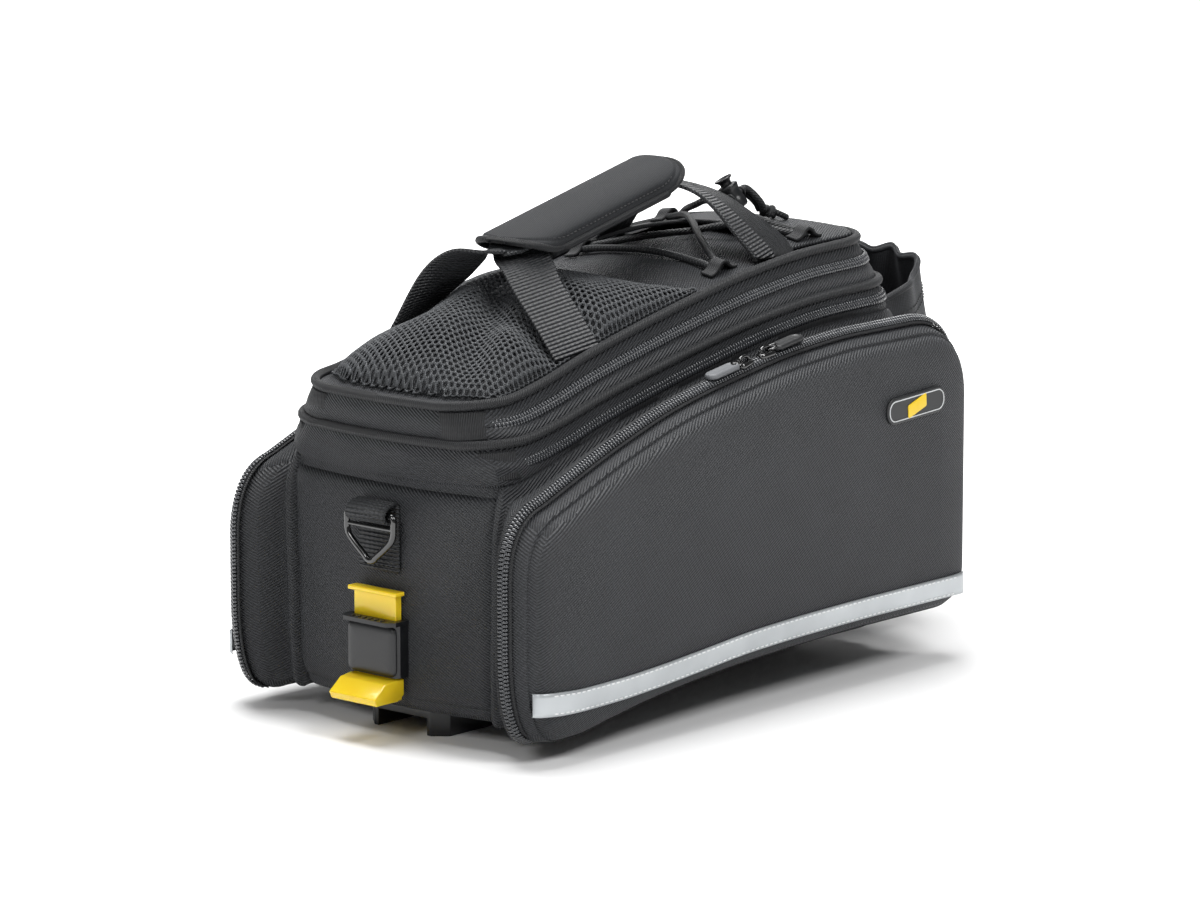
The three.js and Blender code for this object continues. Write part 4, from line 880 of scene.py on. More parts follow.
# The moulded panel, from the zip out: how far out, and how far drawn in at the top and at the bottom
panelRows = [(98.6, 1.0, 0.6), (99.2, 0, 0), (102.5, 2.0, 0.6), (105.5, 3.2, 1.0), (108, 4.3, 1.3),
             (109.6, 5.3, 1.6), (110.1, 6.0, 1.8), (109.6, 6.7, 2.1), (110.6, 7.4, 2.7), (112.3, 8.0, 3.4),
             (113.9, 9.0, 4.3), (115.3, 10.4, 5.6), (116.5, 12.4, 7.4), (117.5, 15, 10), (118.3, 19, 13.5),
             (119.2, 25, 19), (119.9, 32, 25.5), (120.4, 40, 32)]
panelFace = panelRows[7:]
panelStand = curveThrough([r[1] for r in panelFace], [r[0] for r in panelFace])
panelStandLow = curveThrough([r[2] for r in panelFace], [r[0] for r in panelFace])


def panelReach(x, z):
    near = np.minimum(x - pocket["front"], pocketTop(x) - z)
    far = np.minimum(pocket["rear"] - x, z - pocketBottom(x))
    return np.minimum(panelStand(near), panelStandLow(far))


def buildPanel():
    grid = [ringOut(pocketOutline(inset, low), out) for out, inset, low in panelRows]
    last = grid[-1]
    middle = last.mean(0)
    for share in (0.8, 0.6, 0.4, 0.2, 0.05):
        ring = last.copy()
        ring[:, 0] = mix(middle[0], last[:, 0], share)
        ring[:, 2] = mix(mix(pocketBottom(ring[:, 0]), pocketTop(ring[:, 0]), 0.5), last[:, 2], share)
        ring[:, 1] -= 0.5 * (1 - share)
        grid.append(ring)
    return np.array(grid)


def mirrorGrid(grid):
    return flipSides(grid)[:, ::-1]


gussetGrid, panelGrid = buildGusset(), buildPanel()
for end, turn in (("Near", np.array), ("Far", mirrorGrid)):
    addGrid("gusset" + end, turn(gussetGrid), twill, closedAcross=True, solid=2,
            nodes=("pocket_gusset_" + end.lower(),), slot="twill")
    points, faces, uv = gridMesh(turn(panelGrid), closedAcross=True)
    count = panelGrid.shape[1]
    faces.append(tuple((len(panelGrid) - 1) * count + c for c in range(count)))
    addPiece("pocketPanel" + end, points, faces, moulded, nodes=("pocket_panel_" + end.lower(),),
             slot="moulded", solid=2)
print("side pockets built")

# The pocket's zip runs from the front foot over the top to the rear foot, and its face leans out to the side
zipCount = 3 * outlineSteps["corner"] + 2 * outlineSteps["rise"] + outlineSteps["run"] + 8
pocketSize = {**zipSize, "tape": 9.4, "lift": 0.9, "lean": 24}


def pocketZipLine():
    part = slice(2, zipCount + 6)
    outline, n = pocketOutline(0)[part], outlineNormal(pocketOutline(0))[part]
    path = ringOut(outline, pocket["zipAt"])
    across = np.tile([0.0, -1.0, 0.0], (len(path), 1))
    out = np.stack([n[:, 0], np.zeros(len(n)), n[:, 1]], 1)
    lean = math.radians(pocketSize["lean"])
    c, s = math.cos(lean), math.sin(lean)
    return path, across * c - out * s, out * c + across * s


zipLine = pocketZipLine()
for end in ("Near", "Far"):
    addZip("pocketZip" + end, "pocket_zip_" + end.lower(), *zipLine, pocketSize, end == "Far")
print("pocket zips built")

# Reflective stripe with two rows of stitches
stripe = {"front": 28, "rear": 38, "width": 13, "ends": 7.6, "lift": 0.5, "thick": 0.7}


def buildStripe():
    x = np.linspace(pocket["front"] + stripe["ends"], pocket["rear"] - stripe["ends"], 160)
    middle = mix(stripe["front"], stripe["rear"], profiles["stripe"](shareAt(x)))
    rows = []
    for part in (-0.5, -0.47, -0.3, 0, 0.3, 0.47, 0.5):
        z = middle + part * stripe["width"]
        lift = stripe["lift"] + (0 if abs(part) == 0.5 else stripe["thick"])
        rows.append(np.stack([x, -(panelReach(x, z) + lift), z], 1))
    grid = np.stack(rows, 1)
    lines = []
    for part in (-0.37, 0.37):
        z = middle + part * stripe["width"]
        lines.append(np.stack([x, -(panelReach(x, z) + stripe["lift"] + stripe["thick"]), z], 1)[4:-4])
    return grid, lines


stripeGrid, stripeLines = buildStripe()
for end, turn in (("Near", np.asarray), ("Far", flipSides)):
    addGrid("stripe" + end, turn(stripeGrid), reflective, solid=0.6, nodes=("stripe_" + end.lower(),),
            slot="reflective")
    out = np.tile(turn(np.array([[0.0, -1.0, 0.0]])), (len(stripeLines[0]), 1))
    addStitches("stripeStitches" + end, [(turn(line), out) for line in stripeLines], whiteThread,
                length=2.7, pitch=3.9, radius=0.42)
print("stripes built")

# Small moulded plates: a rounded outline with a soft edge, laid on a frame of three directions

def roundedOutline(length, width, radius, inset=0.0, steps=8):
    l, w = length / 2 - inset, width / 2 - inset
    r = max(min(radius - inset, l, w), 0.05)
    rows = []
    for k, (cx, cy) in enumerate(((l - r, w - r), (-l + r, w - r), (-l + r, -w + r), (l - r, -w + r))):
        for a in np.linspace(k * math.pi / 2, (k + 1) * math.pi / 2, steps):
            rows.append((cx + r * math.cos(a), cy + r * math.sin(a)))
    return np.array(rows)


def addPlate(name, at, u, v, n, size, material, steps, **more):
    # size: length, width and corner; steps: how far in and how high each ring is; the last ring closes it
    at, u, v, n = (np.array(k, float) for k in (at, u, v, n))
    grid = []
    for inset, lift in steps:
        flat = roundedOutline(*size, inset)
        grid.append(at + flat[:, :1] * u + flat[:, 1:] * v + n * lift)
    addGrid(name, np.array(grid), material, closedAcross=True, capped=True, **more)


# A plain badge: a dark plate, a pale raised outline and a bright lozenge, with no lettering
badge = {"along": 0.884, "height": 148, "length": 52, "width": 15, "tilt": 3, "thick": 1.6, "slant": 0.28,
         "outline": [(1.5, 0.75), (1.6, 0.98), (2.1, 0.98), (2.2, 0.75)], "lozenge": (17, 7.6, 1.2)}


def addBadge(end, flip):
    at = mix(bag["front"], bag["rear"], badge["along"])
    lean = math.radians(badge["tilt"])
    u, v = np.array([math.cos(lean), 0, math.sin(lean)]), np.array([-math.sin(lean), 0, math.cos(lean)])
    n = np.array([0.0, -1.0, 0.0])
    slanted = unit(u + badge["slant"] * v)
    face = -(float(panelReach(np.array([at]), np.array([badge["height"]]))[0]) + 0.25)
    middle = np.array([at, face, badge["height"]])
    if flip:
        middle, n, v = middle * [1, -1, 1], -n, -v
    l, w, t = badge["length"], badge["width"], badge["thick"]
    size = (l, w, w / 2 - 0.5)
    addPlate("badgePlate" + end, middle, u, v, n, size, blackRubber,
             [(0, 0), (0, t * 0.55), (0.4, t * 0.8), (1.0, t * 0.8)], nodes=("badge_" + end.lower(),),
             slot="rubber")
    grid = []
    for inset, high in badge["outline"]:
        ring = roundedOutline(*size, inset)
        grid.append(middle + ring[:, :1] * u + ring[:, 1:] * v + n * (t * high))
    addGrid("badgeOutline" + end, np.array(grid), whiteRubber, closedAcross=True, closedAlong=True,
            slot="rubber")
    addPlate("badgeLozenge" + end, middle, slanted, v, n, badge["lozenge"], yellowRubber,
             [(0, t * 0.75), (0, t * 1.05), (0.5, t * 1.15)], slot="rubber")


for end in ("Near", "Far"):
    addBadge(end, end == "Far")

# Zip sliders with their pulls: rings are how far in and how high, and the bridge is drawn along and up
slider = {"length": 12, "width": 9, "corner": 3.2, "front": 0.529, "rear": 0.581, "narrow": 0.28,
          "above": 3.8, "rings": [(0.5, -1.6), (0, -1.2), (0, 0.2), (0.5, 0.9), (1.2, 1.3)],
          "bridge": [(-4.2, 1.0), (-3.6, 2.9), (-1.6, 4.0), (1.6, 4.0), (3.6, 2.9), (4.2, 1.0)], "wire": 0.95,
          "eyeAlong": 3.4, "eyeAcross": 2.5, "eyeWire": 0.75}
puller = {"length": 24, "width": 9, "thick": 2.6, "gap": 0.3}


def sliderFrame(share):
    x = mix(bag["front"], bag["rear"], share)
    reach = slider["length"] / 2
    along = unit(np.array([2 * reach, 0, float(pocketTop(x + reach)) - float(pocketTop(x - reach))]))
    out = np.array([-along[2], 0, along[0]])
    return along, out, np.array([x, -pocket["zipAt"], float(pocketTop(x))]) + out * slider["above"]


def addSlider(end, which, way, material):
    along, out, top = sliderFrame(slider[which])
    across = np.array([0.0, 1.0, 0.0])
    if end == "Far":
        top, across = top * [1, -1, 1], -across
    key, node = which.capitalize() + end, which + "_" + end.lower()
    l, w = slider["length"], slider["width"]
    grid = []
    for inset, lift in slider["rings"]:
        flat = roundedOutline(l, w, slider["corner"], inset)
        narrow = 1 - slider["narrow"] * smooth(-l / 2, l / 2, -flat[:, 0] * way)
        grid.append(top + flat[:, :1] * along + (flat[:, 1] * narrow)[:, None] * across + out * lift)
    addGrid("slider" + key, np.array(grid), blackSteel, closedAcross=True, capped=True,
            nodes=("slider_" + node,), slot="black_steel")
    arch = spline([top + along * a + out * h for a, h in slider["bridge"]], 18)
    addGrid("sliderBridge" + key, tube(arch, slider["wire"], 8), blackSteel, closedAcross=True, capped=True,
            slot="black_steel")
    centre = top + along * (way * 5.6) + out * 2.3
    turn = np.linspace(0, 2 * math.pi, 25)[:-1, None]
    ring = centre + along * (slider["eyeAlong"] * np.cos(turn))
    ring = ring + across * (slider["eyeAcross"] * np.sin(turn))
    ring = ring + out * (0.5 * np.cos(turn) * way)
    upright = np.tile(out, (len(ring), 1))
    aside = unit(np.cross(alongOf(ring, True), upright))
    addGrid("sliderRing" + key, sweep(ring, aside, upright, roundSection(slider["eyeWire"], 8)), blackSteel,
            closedAcross=True, closedAlong=True, slot="black_steel")
    pl, pw, pt = puller["length"], puller["width"], puller["thick"]
    at = top + along * (way * (l / 2 + puller["gap"] + pl / 2)) + out * puller["gap"]
    rings = [(0, 0), (0, pt * 0.55), (0.35, pt * 0.85), (0.9, pt), (1.7, pt), (2.1, pt * 0.84),
             (3.0, pt * 0.82)]
    addPlate("pull" + key, at, along, across * (1 if end == "Near" else -1), out, (pl, pw, pw * 0.45),
             material, rings, nodes=("pull_" + node,), slot="rubber")


for end in ("Near", "Far"):
    addSlider(end, "front", -1, greyRubber)
    addSlider(end, "rear", 1, blackRubber)
print("badges and sliders built")

# The net over the front of the lid: real holes, one for each cell. Its real pitch is finer, drawn at 3.6 mm.
net = {"bulge": 28, "rear": 0.47, "sweep": 22, "lead": 0.72, "crease": 0.42, "creaseWidth": 12,
       "pressed": 1.2, "pitch": 3.6, "hole": 0.6, "rest": 2.2, "strand": 0.5, "edgeIn": 5,
       "narrow": 10, "narrowOver": 30, "cells": 60, "from": -90}
strap = {"width": 30, "thick": 2, "frontNear": 85, "frontFar": 103, "rear": 80, "foot": 57, "rest": 5.1,
         "apart": 4.8, "tuck": 9}


def netEdges(across):
    start = bag["front"] + net["edgeIn"] + piping["radius"] + bag["bow"] * across**2 * 0.6 + 12 * across**6
    rear = mix(bag["front"], bag["rear"], net["rear"]) + net["sweep"] * across**2
    return start, rear


def netHalf(x):
    # how far the net reaches from the middle; it narrows towards the front
    share = np.clip((x - bag["front"]) / net["narrowOver"], 0, 1)
    return levels["lid"]["half"] - net["edgeIn"] - net["narrow"] * (1 - share) ** 2


def netHeight(x, y):
    narrow = netHalf(x)
    across = np.clip(y / narrow, -1, 1)
    start, rear = netEdges(across)
    along = np.clip((x - start) / (rear - start), 0, 1)
    dome = np.sin(math.pi * along ** net["lead"]) ** 0.65 * np.maximum(1 - across**2, 0) ** 0.55
    # one deep crease runs from the near front corner to the middle
    fromX, fromY, dx, dy = bag["front"] + 13, -0.75 * narrow, 81.0, -1 + 0.75 * narrow
    on = np.clip(((x - fromX) * dx + (y - fromY) * dy) / (dx * dx + dy * dy), 0, 1)
    away = np.hypot(x - fromX - on * dx, y - fromY - on * dy)
    crease = 1 - net["crease"] * np.exp(-((away / net["creaseWidth"]) ** 2))
    # the straps press it down
    fromStrap = (x + np.where(y < 0, strap["frontNear"], strap["frontFar"])) / (strap["width"] * 0.8)
    pressed = np.maximum(1 - net["pressed"] * np.exp(-(fromStrap**4)) * across**2, 0)
    return lidTop(x, y) + net["rest"] + net["bulge"] * dome * crease * pressed


def buildNet():
    pitch, half = net["pitch"], levels["lid"]["half"] - net["edgeIn"]
    reach = pitch / math.sqrt(3)
    corners = [(reach * math.cos(a), reach * math.sin(a)) for a in (np.arange(6) + 0.5) * math.pi / 3]
    centres = []
    for j in range(-net["cells"], net["cells"]):
        y = j * pitch * math.sqrt(3) / 2
        if abs(y) > half + 2:
            continue
        for i in range(-net["cells"], net["cells"]):
            x = (i + 0.5 * (j % 2)) * pitch + net["from"]
            narrow = float(netHalf(x))
            start, rear = netEdges(min(max(y / narrow, -1), 1))
            if abs(y) < narrow + 1.5 and start - 1 < x < rear + 1:
                centres.append((x, y))
    index, flat, raised, faces = {}, [], [], []

    def corner(x, y, up):
        key = (round(x, 1), round(y, 1), up > 0)
        if key not in index:
            index[key] = len(flat)
            flat.append((x, y))
            raised.append(up)
        return index[key]
    for cx, cy in centres:
        outer = [corner(cx + a, cy + b, net["strand"]) for a, b in corners]
        inner = []
        for a, b in corners:
            inner.append(len(flat))
            flat.append((cx + a * net["hole"], cy + b * net["hole"]))
            raised.append(-0.1)
        faces += [(outer[k], outer[(k + 1) % 6], inner[(k + 1) % 6], inner[k]) for k in range(6)]
    flat, raised = np.array(flat), np.array(raised)
    z = netHeight(flat[:, 0], flat[:, 1])
    points = np.concatenate([flat, (z + raised)[:, None]], 1)
    points[:, 2] += ruffle(points, 18, 1.2, 21) * smooth(2, 8, z - lidTop(flat[:, 0], flat[:, 1]))
    addPiece("net", points, faces, knit, nodes=("net_pocket",), slot="net", solid=1.2)
    print("net cells", len(centres))


buildNet()

# A folded strip along the net's rear edge
edgeAcross = np.linspace(-1, 1, 60)
edgeY = edgeAcross * (levels["lid"]["half"] - net["edgeIn"])
edgeX = netEdges(edgeAcross)[1]
edgeLine = np.stack([edgeX, edgeY, lidTop(edgeX, edgeY) + 1.6], 1)
edgeAlong = alongOf(edgeLine)
edgeUp = np.tile([0.0, 0.0, 1.0], (len(edgeLine), 1))
edgeAside = unit(np.cross(edgeAlong, edgeUp))
edgeSection = [(-3.4, -0.8), (3.4, -0.8), (3.2, 0.4), (1.5, 0.9), (-1.5, 0.9), (-3.2, 0.4)]
addGrid("netEdge", sweep(edgeLine, edgeAside, edgeUp, edgeSection), binding, closedAcross=True, capped=True,
        threads=True, slot="binding")
addStitches("netStitches", [(edgeLine + edgeUp * 0.8, edgeUp)], pitch=3.4, length=2.2)

# The rear flap with its curved hem, a little open
flap = {"hem": 0.8, "sweep": 38, "lift": 3, "half": levels["lid"]["half"] - net["edgeIn"], "thick": 2}


def hemX(y):
    return mix(bag["front"], bag["rear"], flap["hem"]) - flap["sweep"] * (y / flap["half"]) ** 2


def flapRear(y):
    return bag["rear"] - net["edgeIn"] - 2 - 14 * (y / flap["half"]) ** 6


def flapOpen(x, y):
    share = np.clip((x - hemX(y)) / (flapRear(y) - hemX(y)), 0, 1)
    return flap["lift"] * (1 - share) ** 3 * (1 - (y / flap["half"]) ** 4)


def coverTop(x, y):
    return lidTop(x, y) + np.where(x >= hemX(y), 1 + flap["thick"] + flapOpen(x, y), 0)


def buildFlap():
    grid = []
    for r in np.linspace(0, 1, 26):
        across = np.linspace(-flap["half"], flap["half"], 48)
        x = mix(hemX(across), flapRear(across), r)
        y = across * (1 - 0.15 * np.clip((x - bag["rear"] + 34) / 34, 0, 1) ** 2)
        top = np.stack([x, y, lidTop(x, y) + flapOpen(x, across) + 1 + flap["thick"]], 1)
        top[:, 2] += ruffle(top, 24, 0.8, 31) * math.sin(math.pi * min(r * 1.5 + 0.1, 1))
        grid.append(top)
    addGrid("rearFlap", grid, twill, solid=1.8, nodes=("rear_flap",), slot="twill")
    addGrid("flapHem", tube(grid[0] + [0.4, 0, -0.7], 1.3, 8), binding, closedAcross=True, capped=True,
            threads=True, slot="binding")
    line = mix(grid[0], grid[4], 0.7)
    addStitches("flapStitches", [(line, np.tile([0.0, 0.0, 1.0], (len(line), 1)))], pitch=3.4, length=2.3)


buildFlap()
print("net and flap built")

# Handle: two webbing straps and a padded grip
grip = {"length": 134, "width": 48, "height": 17, "middle": -11, "lift": 41, "slope": 0.235, "corner": 24,
        "mouth": 16, "seamIn": 5.2, "binding": 2.05}
# a strap from the lid's edge into the grip: along, share of the way out, its rise before and behind, its lean
strapCourse = [(0, 1, 0, 0, 1), (0.5, 0.78, 0.36, 0.27, 1), (1, 0.54, 0.72, 0.56, 0.85),
               (1.5, 0.34, 0.92, 0.79, 0.45), (4, 0.15, 0.985, 0.95, 0.08), (10, 0.04, 1, 1, 0),
               (20, 0, 1, 1, 0)]


def gripHeight(x):
    return float(lidTop(grip["middle"], 0)) + grip["lift"] + (x - grip["middle"]) * grip["slope"]


def strapHalf(side, way, base, rise, lift):
    mouth = abs(grip["middle"] + way * grip["length"] / 2)
    foot = strap["foot"]
    slope = float(lidTop(way * base + 5, foot) - lidTop(way * base - 5, foot)) / 10
    low = float(lidTop(way * base, foot)) + strap["rest"] + strap["thick"] / 2
    edge = 61.5
    rows = [(way * base, side * edge, float(lidTop(way * base, edge)) + 1.6, -slope, side * 0.75, 0.65)]
    # the webbing tucks further in behind the grip, but for the far front strap, which shows
    tuck = strap["tuck"] * (way > 0 or side < 0)
    for row in strapCourse:
        shear = (base - mouth - 6) * (1 - row[1])
        hidden = tuck * (1 - float(smooth(0.1, 0.6, np.array([row[1]]))[0]))
        x, y = way * (base - row[0] - shear - hidden), side * row[1] * foot
        z = mix(low, gripHeight(x) + lift, row[rise])
        rows.append((x, y, z, -mix(grip["slope"], slope, row[4]), side * row[4] * 0.75, 1 - row[4] * 0.35))
    return rows


def addStrap(end, side, front, lift, twists):
    rows = strapHalf(side, -1, front, 2, lift) + strapHalf(side, 1, strap["rear"], 3, lift)[::-1]
    both = spline(rows, 150)
    path, out = both[:, :3], both[:, 3:]
    t = alongOf(path)
    out = unit(out - t * (out * t).sum(1, keepdims=True))
    # each free stretch of webbing twists a little between the lid's edge and the sleeve
    free = np.clip(np.abs(path[:, 1]) / strap["foot"], 0, 1)
    turn = np.where(path[:, 0] < grip["middle"], *twists) * np.sin(math.pi * free**0.8) ** 1.5
    turn = np.radians(turn)[:, None]
    out = out * np.cos(turn) + np.cross(t, out) * np.sin(turn)
    across = np.cross(t, out)
    w, h = strap["width"] / 2, strap["thick"] / 2
    section = [(-w, -h * 0.6), (-w + 0.5, -h), (w - 0.5, -h), (w, -h * 0.6), (w, h * 0.6), (w - 0.5, h),
               (w - 1.6, h * 0.86), (0, h * 0.86), (-w + 1.6, h * 0.86), (-w + 0.5, h), (-w, h * 0.6)]
    # behind, the webbing is drawn together where it goes into the sleeve
    drawn = np.where(path[:, 0] > grip["middle"], mix(0.55, 1, smooth(0.05, 0.5, free)), 1)
    across = across * drawn[:, None]
    addGrid("strap" + end, sweep(path, across, out, section), webbing, closedAcross=True, capped=True,
            threads=True, nodes=("handle_strap_" + end.lower(),), slot="webbing")


addStrap("Near", -1, strap["frontNear"], -strap["apart"] / 2, (0, -22))
addStrap("Far", 1, strap["frontFar"], strap["apart"] / 2, (-38, 0))


def squared(a, power=0.75):
    # a turn's two parts, drawn out towards a rounded rectangle
    c, s = np.cos(a), np.sin(a)
    return np.sign(c) * np.abs(c) ** power, np.sign(s) * np.abs(s) ** power


def gripSection(count=90):
    # the sleeve's rounded section from its far lower edge over the top to its near edge
    y, z = squared(np.linspace(math.radians(-32), math.radians(190), count))
    return evenly(np.stack([grip["width"] / 2 * y, grip["height"] / 2 * z], 1), count)


def gripPlace(x, y, z):
    # from the sleeve's own level frame to its tilt over the lid
    lean = math.atan(grip["slope"])
    return np.stack([grip["middle"] + x * math.cos(lean) - z * math.sin(lean), y + 0 * x,
                     gripHeight(grip["middle"]) + x * math.sin(lean) + z * math.cos(lean)], -1)


def buildGrip():
    section = gripSection()
    wide = lineLength(section)
    far = distances(section) - wide / 2
    half, radius, seamIn = grip["length"] / 2, grip["corner"], grip["seamIn"]

    def sheetAt(x, w, stand=0.0):
        y, z = np.interp(w, far, section[:, 0]), np.interp(w, far, section[:, 1])
        dy, dz = np.interp(w + 0.5, far, section[:, 0]) - y, np.interp(w + 0.5, far, section[:, 1]) - z
        size = np.maximum(np.hypot(dy, dz), 1e-6)
        return gripPlace(x, y + dz / size * stand, z - dy / size * stand)
    rounded = np.linspace(-half + 0.4, -half + radius, 22)
    straight = np.linspace(-half + radius, half - radius, 40)[1:-1]
    rows = np.concatenate([[-half], rounded, straight, np.linspace(half - radius, half - 0.4, 22), [half]])
    grid, edges = [], [[], []]
    for x in rows:
        past = max(abs(x) - (half - radius), 0)
        reach = wide / 2 - radius + math.sqrt(max(radius**2 - past**2, 0))
        w = np.linspace(-reach, reach, 70)
        edge = np.minimum(reach - np.abs(w), half - abs(x) + 0.4 * (wide / 2 - reach))
        stand = 0.8 * smooth(0, 9, edge) - 0.75 * np.exp(-(((edge - seamIn) / 1.0) ** 2))
        grid.append(sheetAt(np.full(len(w), x), w, stand))
        for k, way in enumerate((-1, 1)):
            edges[k].append((x, way * reach))
    addGrid("grip", grid, jersey, solid=3.4, nodes=("handle_grip",), slot="neoprene")
    outline = np.array(edges[0] + edges[1][::-1])
    rim = evenly(np.concatenate([outline, outline[:1]]), 320)
    bound = sheetAt(rim[:, 0], rim[:, 1], -1.2)
    addGrid("gripBinding", tube(bound[:-1], grip["binding"], 10, True), binding, closedAcross=True,
            closedAlong=True, threads=True, slot="binding")
    inner = np.stack([rim[:, 0] * (1 - seamIn / half), rim[:, 1] * (1 - seamIn / (wide / 2))], 1)
    row = sheetAt(inner[:, 0], inner[:, 1], 0.1)
    normal = unit(sheetAt(inner[:, 0], inner[:, 1], 1.0) - sheetAt(inner[:, 0], inner[:, 1], 0.0))
    addStitches("gripStitches", [(row, normal)], pitch=3.2, length=2.2, radius=0.34)
    # the sleeve's lower flap, which closes over the webbing
    under = []
    across, down = squared(np.linspace(math.radians(-14), math.radians(-178), 40))
    for x in np.linspace(-half + grip["mouth"] + 2, half - grip["mouth"] - 2, 40):
        y = 22.4 * across
        z = 9.2 * down - 1.0 * (y < 0) * smooth(0, 20, -y)
        under.append(gripPlace(np.full(len(y), x), y, z))
    addGrid("gripUnder", under, jersey, solid=-2.2, slot="neoprene")


buildGrip()
print("handle built")

# Bungee, its tabs, its lock and its knot
lidSpots = {"lock": mix(bag["front"], bag["rear"], 0.836), "knot": mix(bag["front"], bag["rear"], 0.912)}
cordSize = {"diameter": 4, "tabWidth": 14, "tabThick": 1.6, "tabDepth": 8, "tabFront": 44.5, "tabRear": 118.3,
            "tabSide": 55}
lock = {"lift": 19, "height": 15, "lean": (-0.33, 0.37, 0.87), "apart": 2.3}
knot = {"side": -4, "lift": 8.6, "radius": 5, "strand": 1.95}


def onLid(x, y, lift):
    return np.array([x, y, float(lidTop(x, y)) + lift])


lockW = unit(np.array(lock["lean"]))
lockU = unit(np.array([1.0, 0, 0]) - lockW * lockW[0])
lockV = np.cross(lockW, lockU)
lockAt = onLid(lidSpots["lock"], 0, lock["lift"])
# one half of the cord, each as place along, place aside and lift over the lid
bungeeHalf = [(101.5, 7, 18), (101, 15, 15), (106, 26, 11.5), (113.5, 36, 7.6), (119.5, 43, 5.9),
              (121.5, 48, 5.6), (118.3, 51, 5.6), (115, 48, 5.6), (112, 43, 5.8)]
crossing = [(99, 21.5), (81, 0), (66, -18), (51, -41)]
frontTurn = [(47.5, -48, 2.6), (44.5, -51, 2.6), (41.5, -48, 2.6), (42, -40, 2.6)]


def bungeePoints(side, lifts):
    rows = [onLid(lidSpots["knot"] - 5.6, side * 1.6 + knot["side"], knot["lift"] + 1),
            onLid(lidSpots["knot"] - 9, side * 2.2 + knot["side"], knot["lift"] + 6)]
    rows += [lockAt + lockU * reach + lockV * side * lock["apart"] for reach in (10.4, 0, -10.4)]
    rows += [onLid(x, side * y, lift) for x, y, lift in bungeeHalf]
    rows += [onLid(x, side * y, lift) for (x, y), lift in zip(crossing, lifts)]
    return rows + [onLid(x, side * y, lift) for x, y, lift in frontTurn]


def centripetal(points, count):
    p = np.array(points, float)
    p = np.concatenate([[2 * p[0] - p[1]], p, [2 * p[-1] - p[-2]]])
    rows = []
    for k in range(1, len(p) - 2):
        q = p[k - 1:k + 3]
        gaps = np.linalg.norm(np.diff(q, axis=0), axis=1)
        s = np.concatenate([[0], np.cumsum(gaps**0.5)])
        for t in np.linspace(s[1], s[2], 14, endpoint=False):
            a = [mix(q[i], q[i + 1], (t - s[i]) / (s[i + 1] - s[i])) for i in range(3)]
            b = [mix(a[i], a[i + 1], (t - s[i]) / (s[i + 2] - s[i])) for i in range(2)]
            rows.append(mix(b[0], b[1], (t - s[1]) / (s[2] - s[1])))
    return evenly(rows + [p[-2]], count)


bungeeLine = centripetal(bungeePoints(-1, [8.6, 4.9, 4.2, 3]) + [onLid(43, 0, 2.8)]
                         + bungeePoints(1, [9.2, 9.7, 7.4, 3.2])[::-1], 420)
addGrid("bungee", tube(bungeeLine, cordSize["diameter"] / 2, 12), braid, closedAcross=True, capped=True,
        threads=True, nodes=("bungee",), slot="elastic")
print("bungee length mm", round(lineLength(bungeeLine)))


def addCordTab(name, node, x, side):
    # a strip of tape sewn down before and behind the cord, and arched over it
    way, thick = math.copysign(1, side), cordSize["tabThick"]
    clear, span = cordSize["diameter"] + 1.2, cordSize["tabWidth"] / 2
    half = [(span + 4, 0), (span + 1.5, 0.2), (span - 1.4, 1.6), (span - 3.6, clear - 1.2)]
    profile = spline([(-a, h) for a, h in half] + [(0, clear)] + half[::-1], 34)
    rows = []
    for deep in np.linspace(0, cordSize["tabDepth"], 7):
        across = np.full(len(profile), side - way * deep)
        z = coverTop(x + profile[:, 0], across) + 0.3 + profile[:, 1] + thick
        rows.append(np.stack([x + profile[:, 0], across, z], 1))
    grid = np.array(rows) if way < 0 else np.array(rows)[::-1]
    addGrid("cordTab" + name, grid, binding, solid=thick, threads=True, nodes=(node,), slot="binding")


for row in ("Front", "Rear"):
    for end, way in (("Near", -1), ("Far", 1)):
        addCordTab(row + end, f"cord_tab_{row.lower()}_{end.lower()}", cordSize["tab" + row],
                   way * cordSize["tabSide"])


def addTurned(name, at, u, v, w, profile, material, sides=36, **more):
    # a turned piece: profile rows are radius and height along w
    turn = np.linspace(0, 2 * math.pi, sides, endpoint=False)
    grid = [at + np.outer(r * np.cos(turn), u) + np.outer(r * np.sin(turn), v) + h * w for r, h in profile]
    return addGrid(name, np.array(grid), material, closedAcross=True, capped=True, **more)


def buildLock():
    h = lock["height"] / 2
    top = h + 0.3
    barrel = spline([(4.4, -h), (5.6, -h + 0.3), (6.1, -h + 1.6), (6.0, -h + 5), (5.5, 0), (5.6, h - 4),
                     (6.2, h - 1.4), (5.8, h - 0.3), (4.6, h)], 34)
    cap = spline([(3.4, top), (3.5, top + 1.4), (4.5, top + 2.7), (5.4, top + 3.3), (5.5, top + 3.9),
                  (4.9, top + 4.2), (3.0, top + 3.5), (0.6, top + 3.2)], 30)
    for name, node, profile in (("lockBarrel", "cord_lock", barrel), ("lockButton", "cord_lock_button", cap)):
        addTurned(name, lockAt, lockU, lockV, lockW, profile, blackNylon, nodes=(node,), slot="black_nylon")
    # a small collar where each cord goes in and comes out
    collar = [(2.2, -0.4), (3.0, -0.3), (3.1, 0.5), (2.7, 0.9), (2.2, 0.8)]
    for sideName, side in (("N", -1), ("F", 1)):
        for wayName, way in (("F", -1), ("R", 1)):
            spot = lockAt + lockV * side * lock["apart"] + lockU * way * 5.4
            addTurned("lockEye" + sideName + wayName, spot, lockV, lockW, lockU * way, collar, blackNylon, 20,
                      slot="black_nylon")


buildLock()


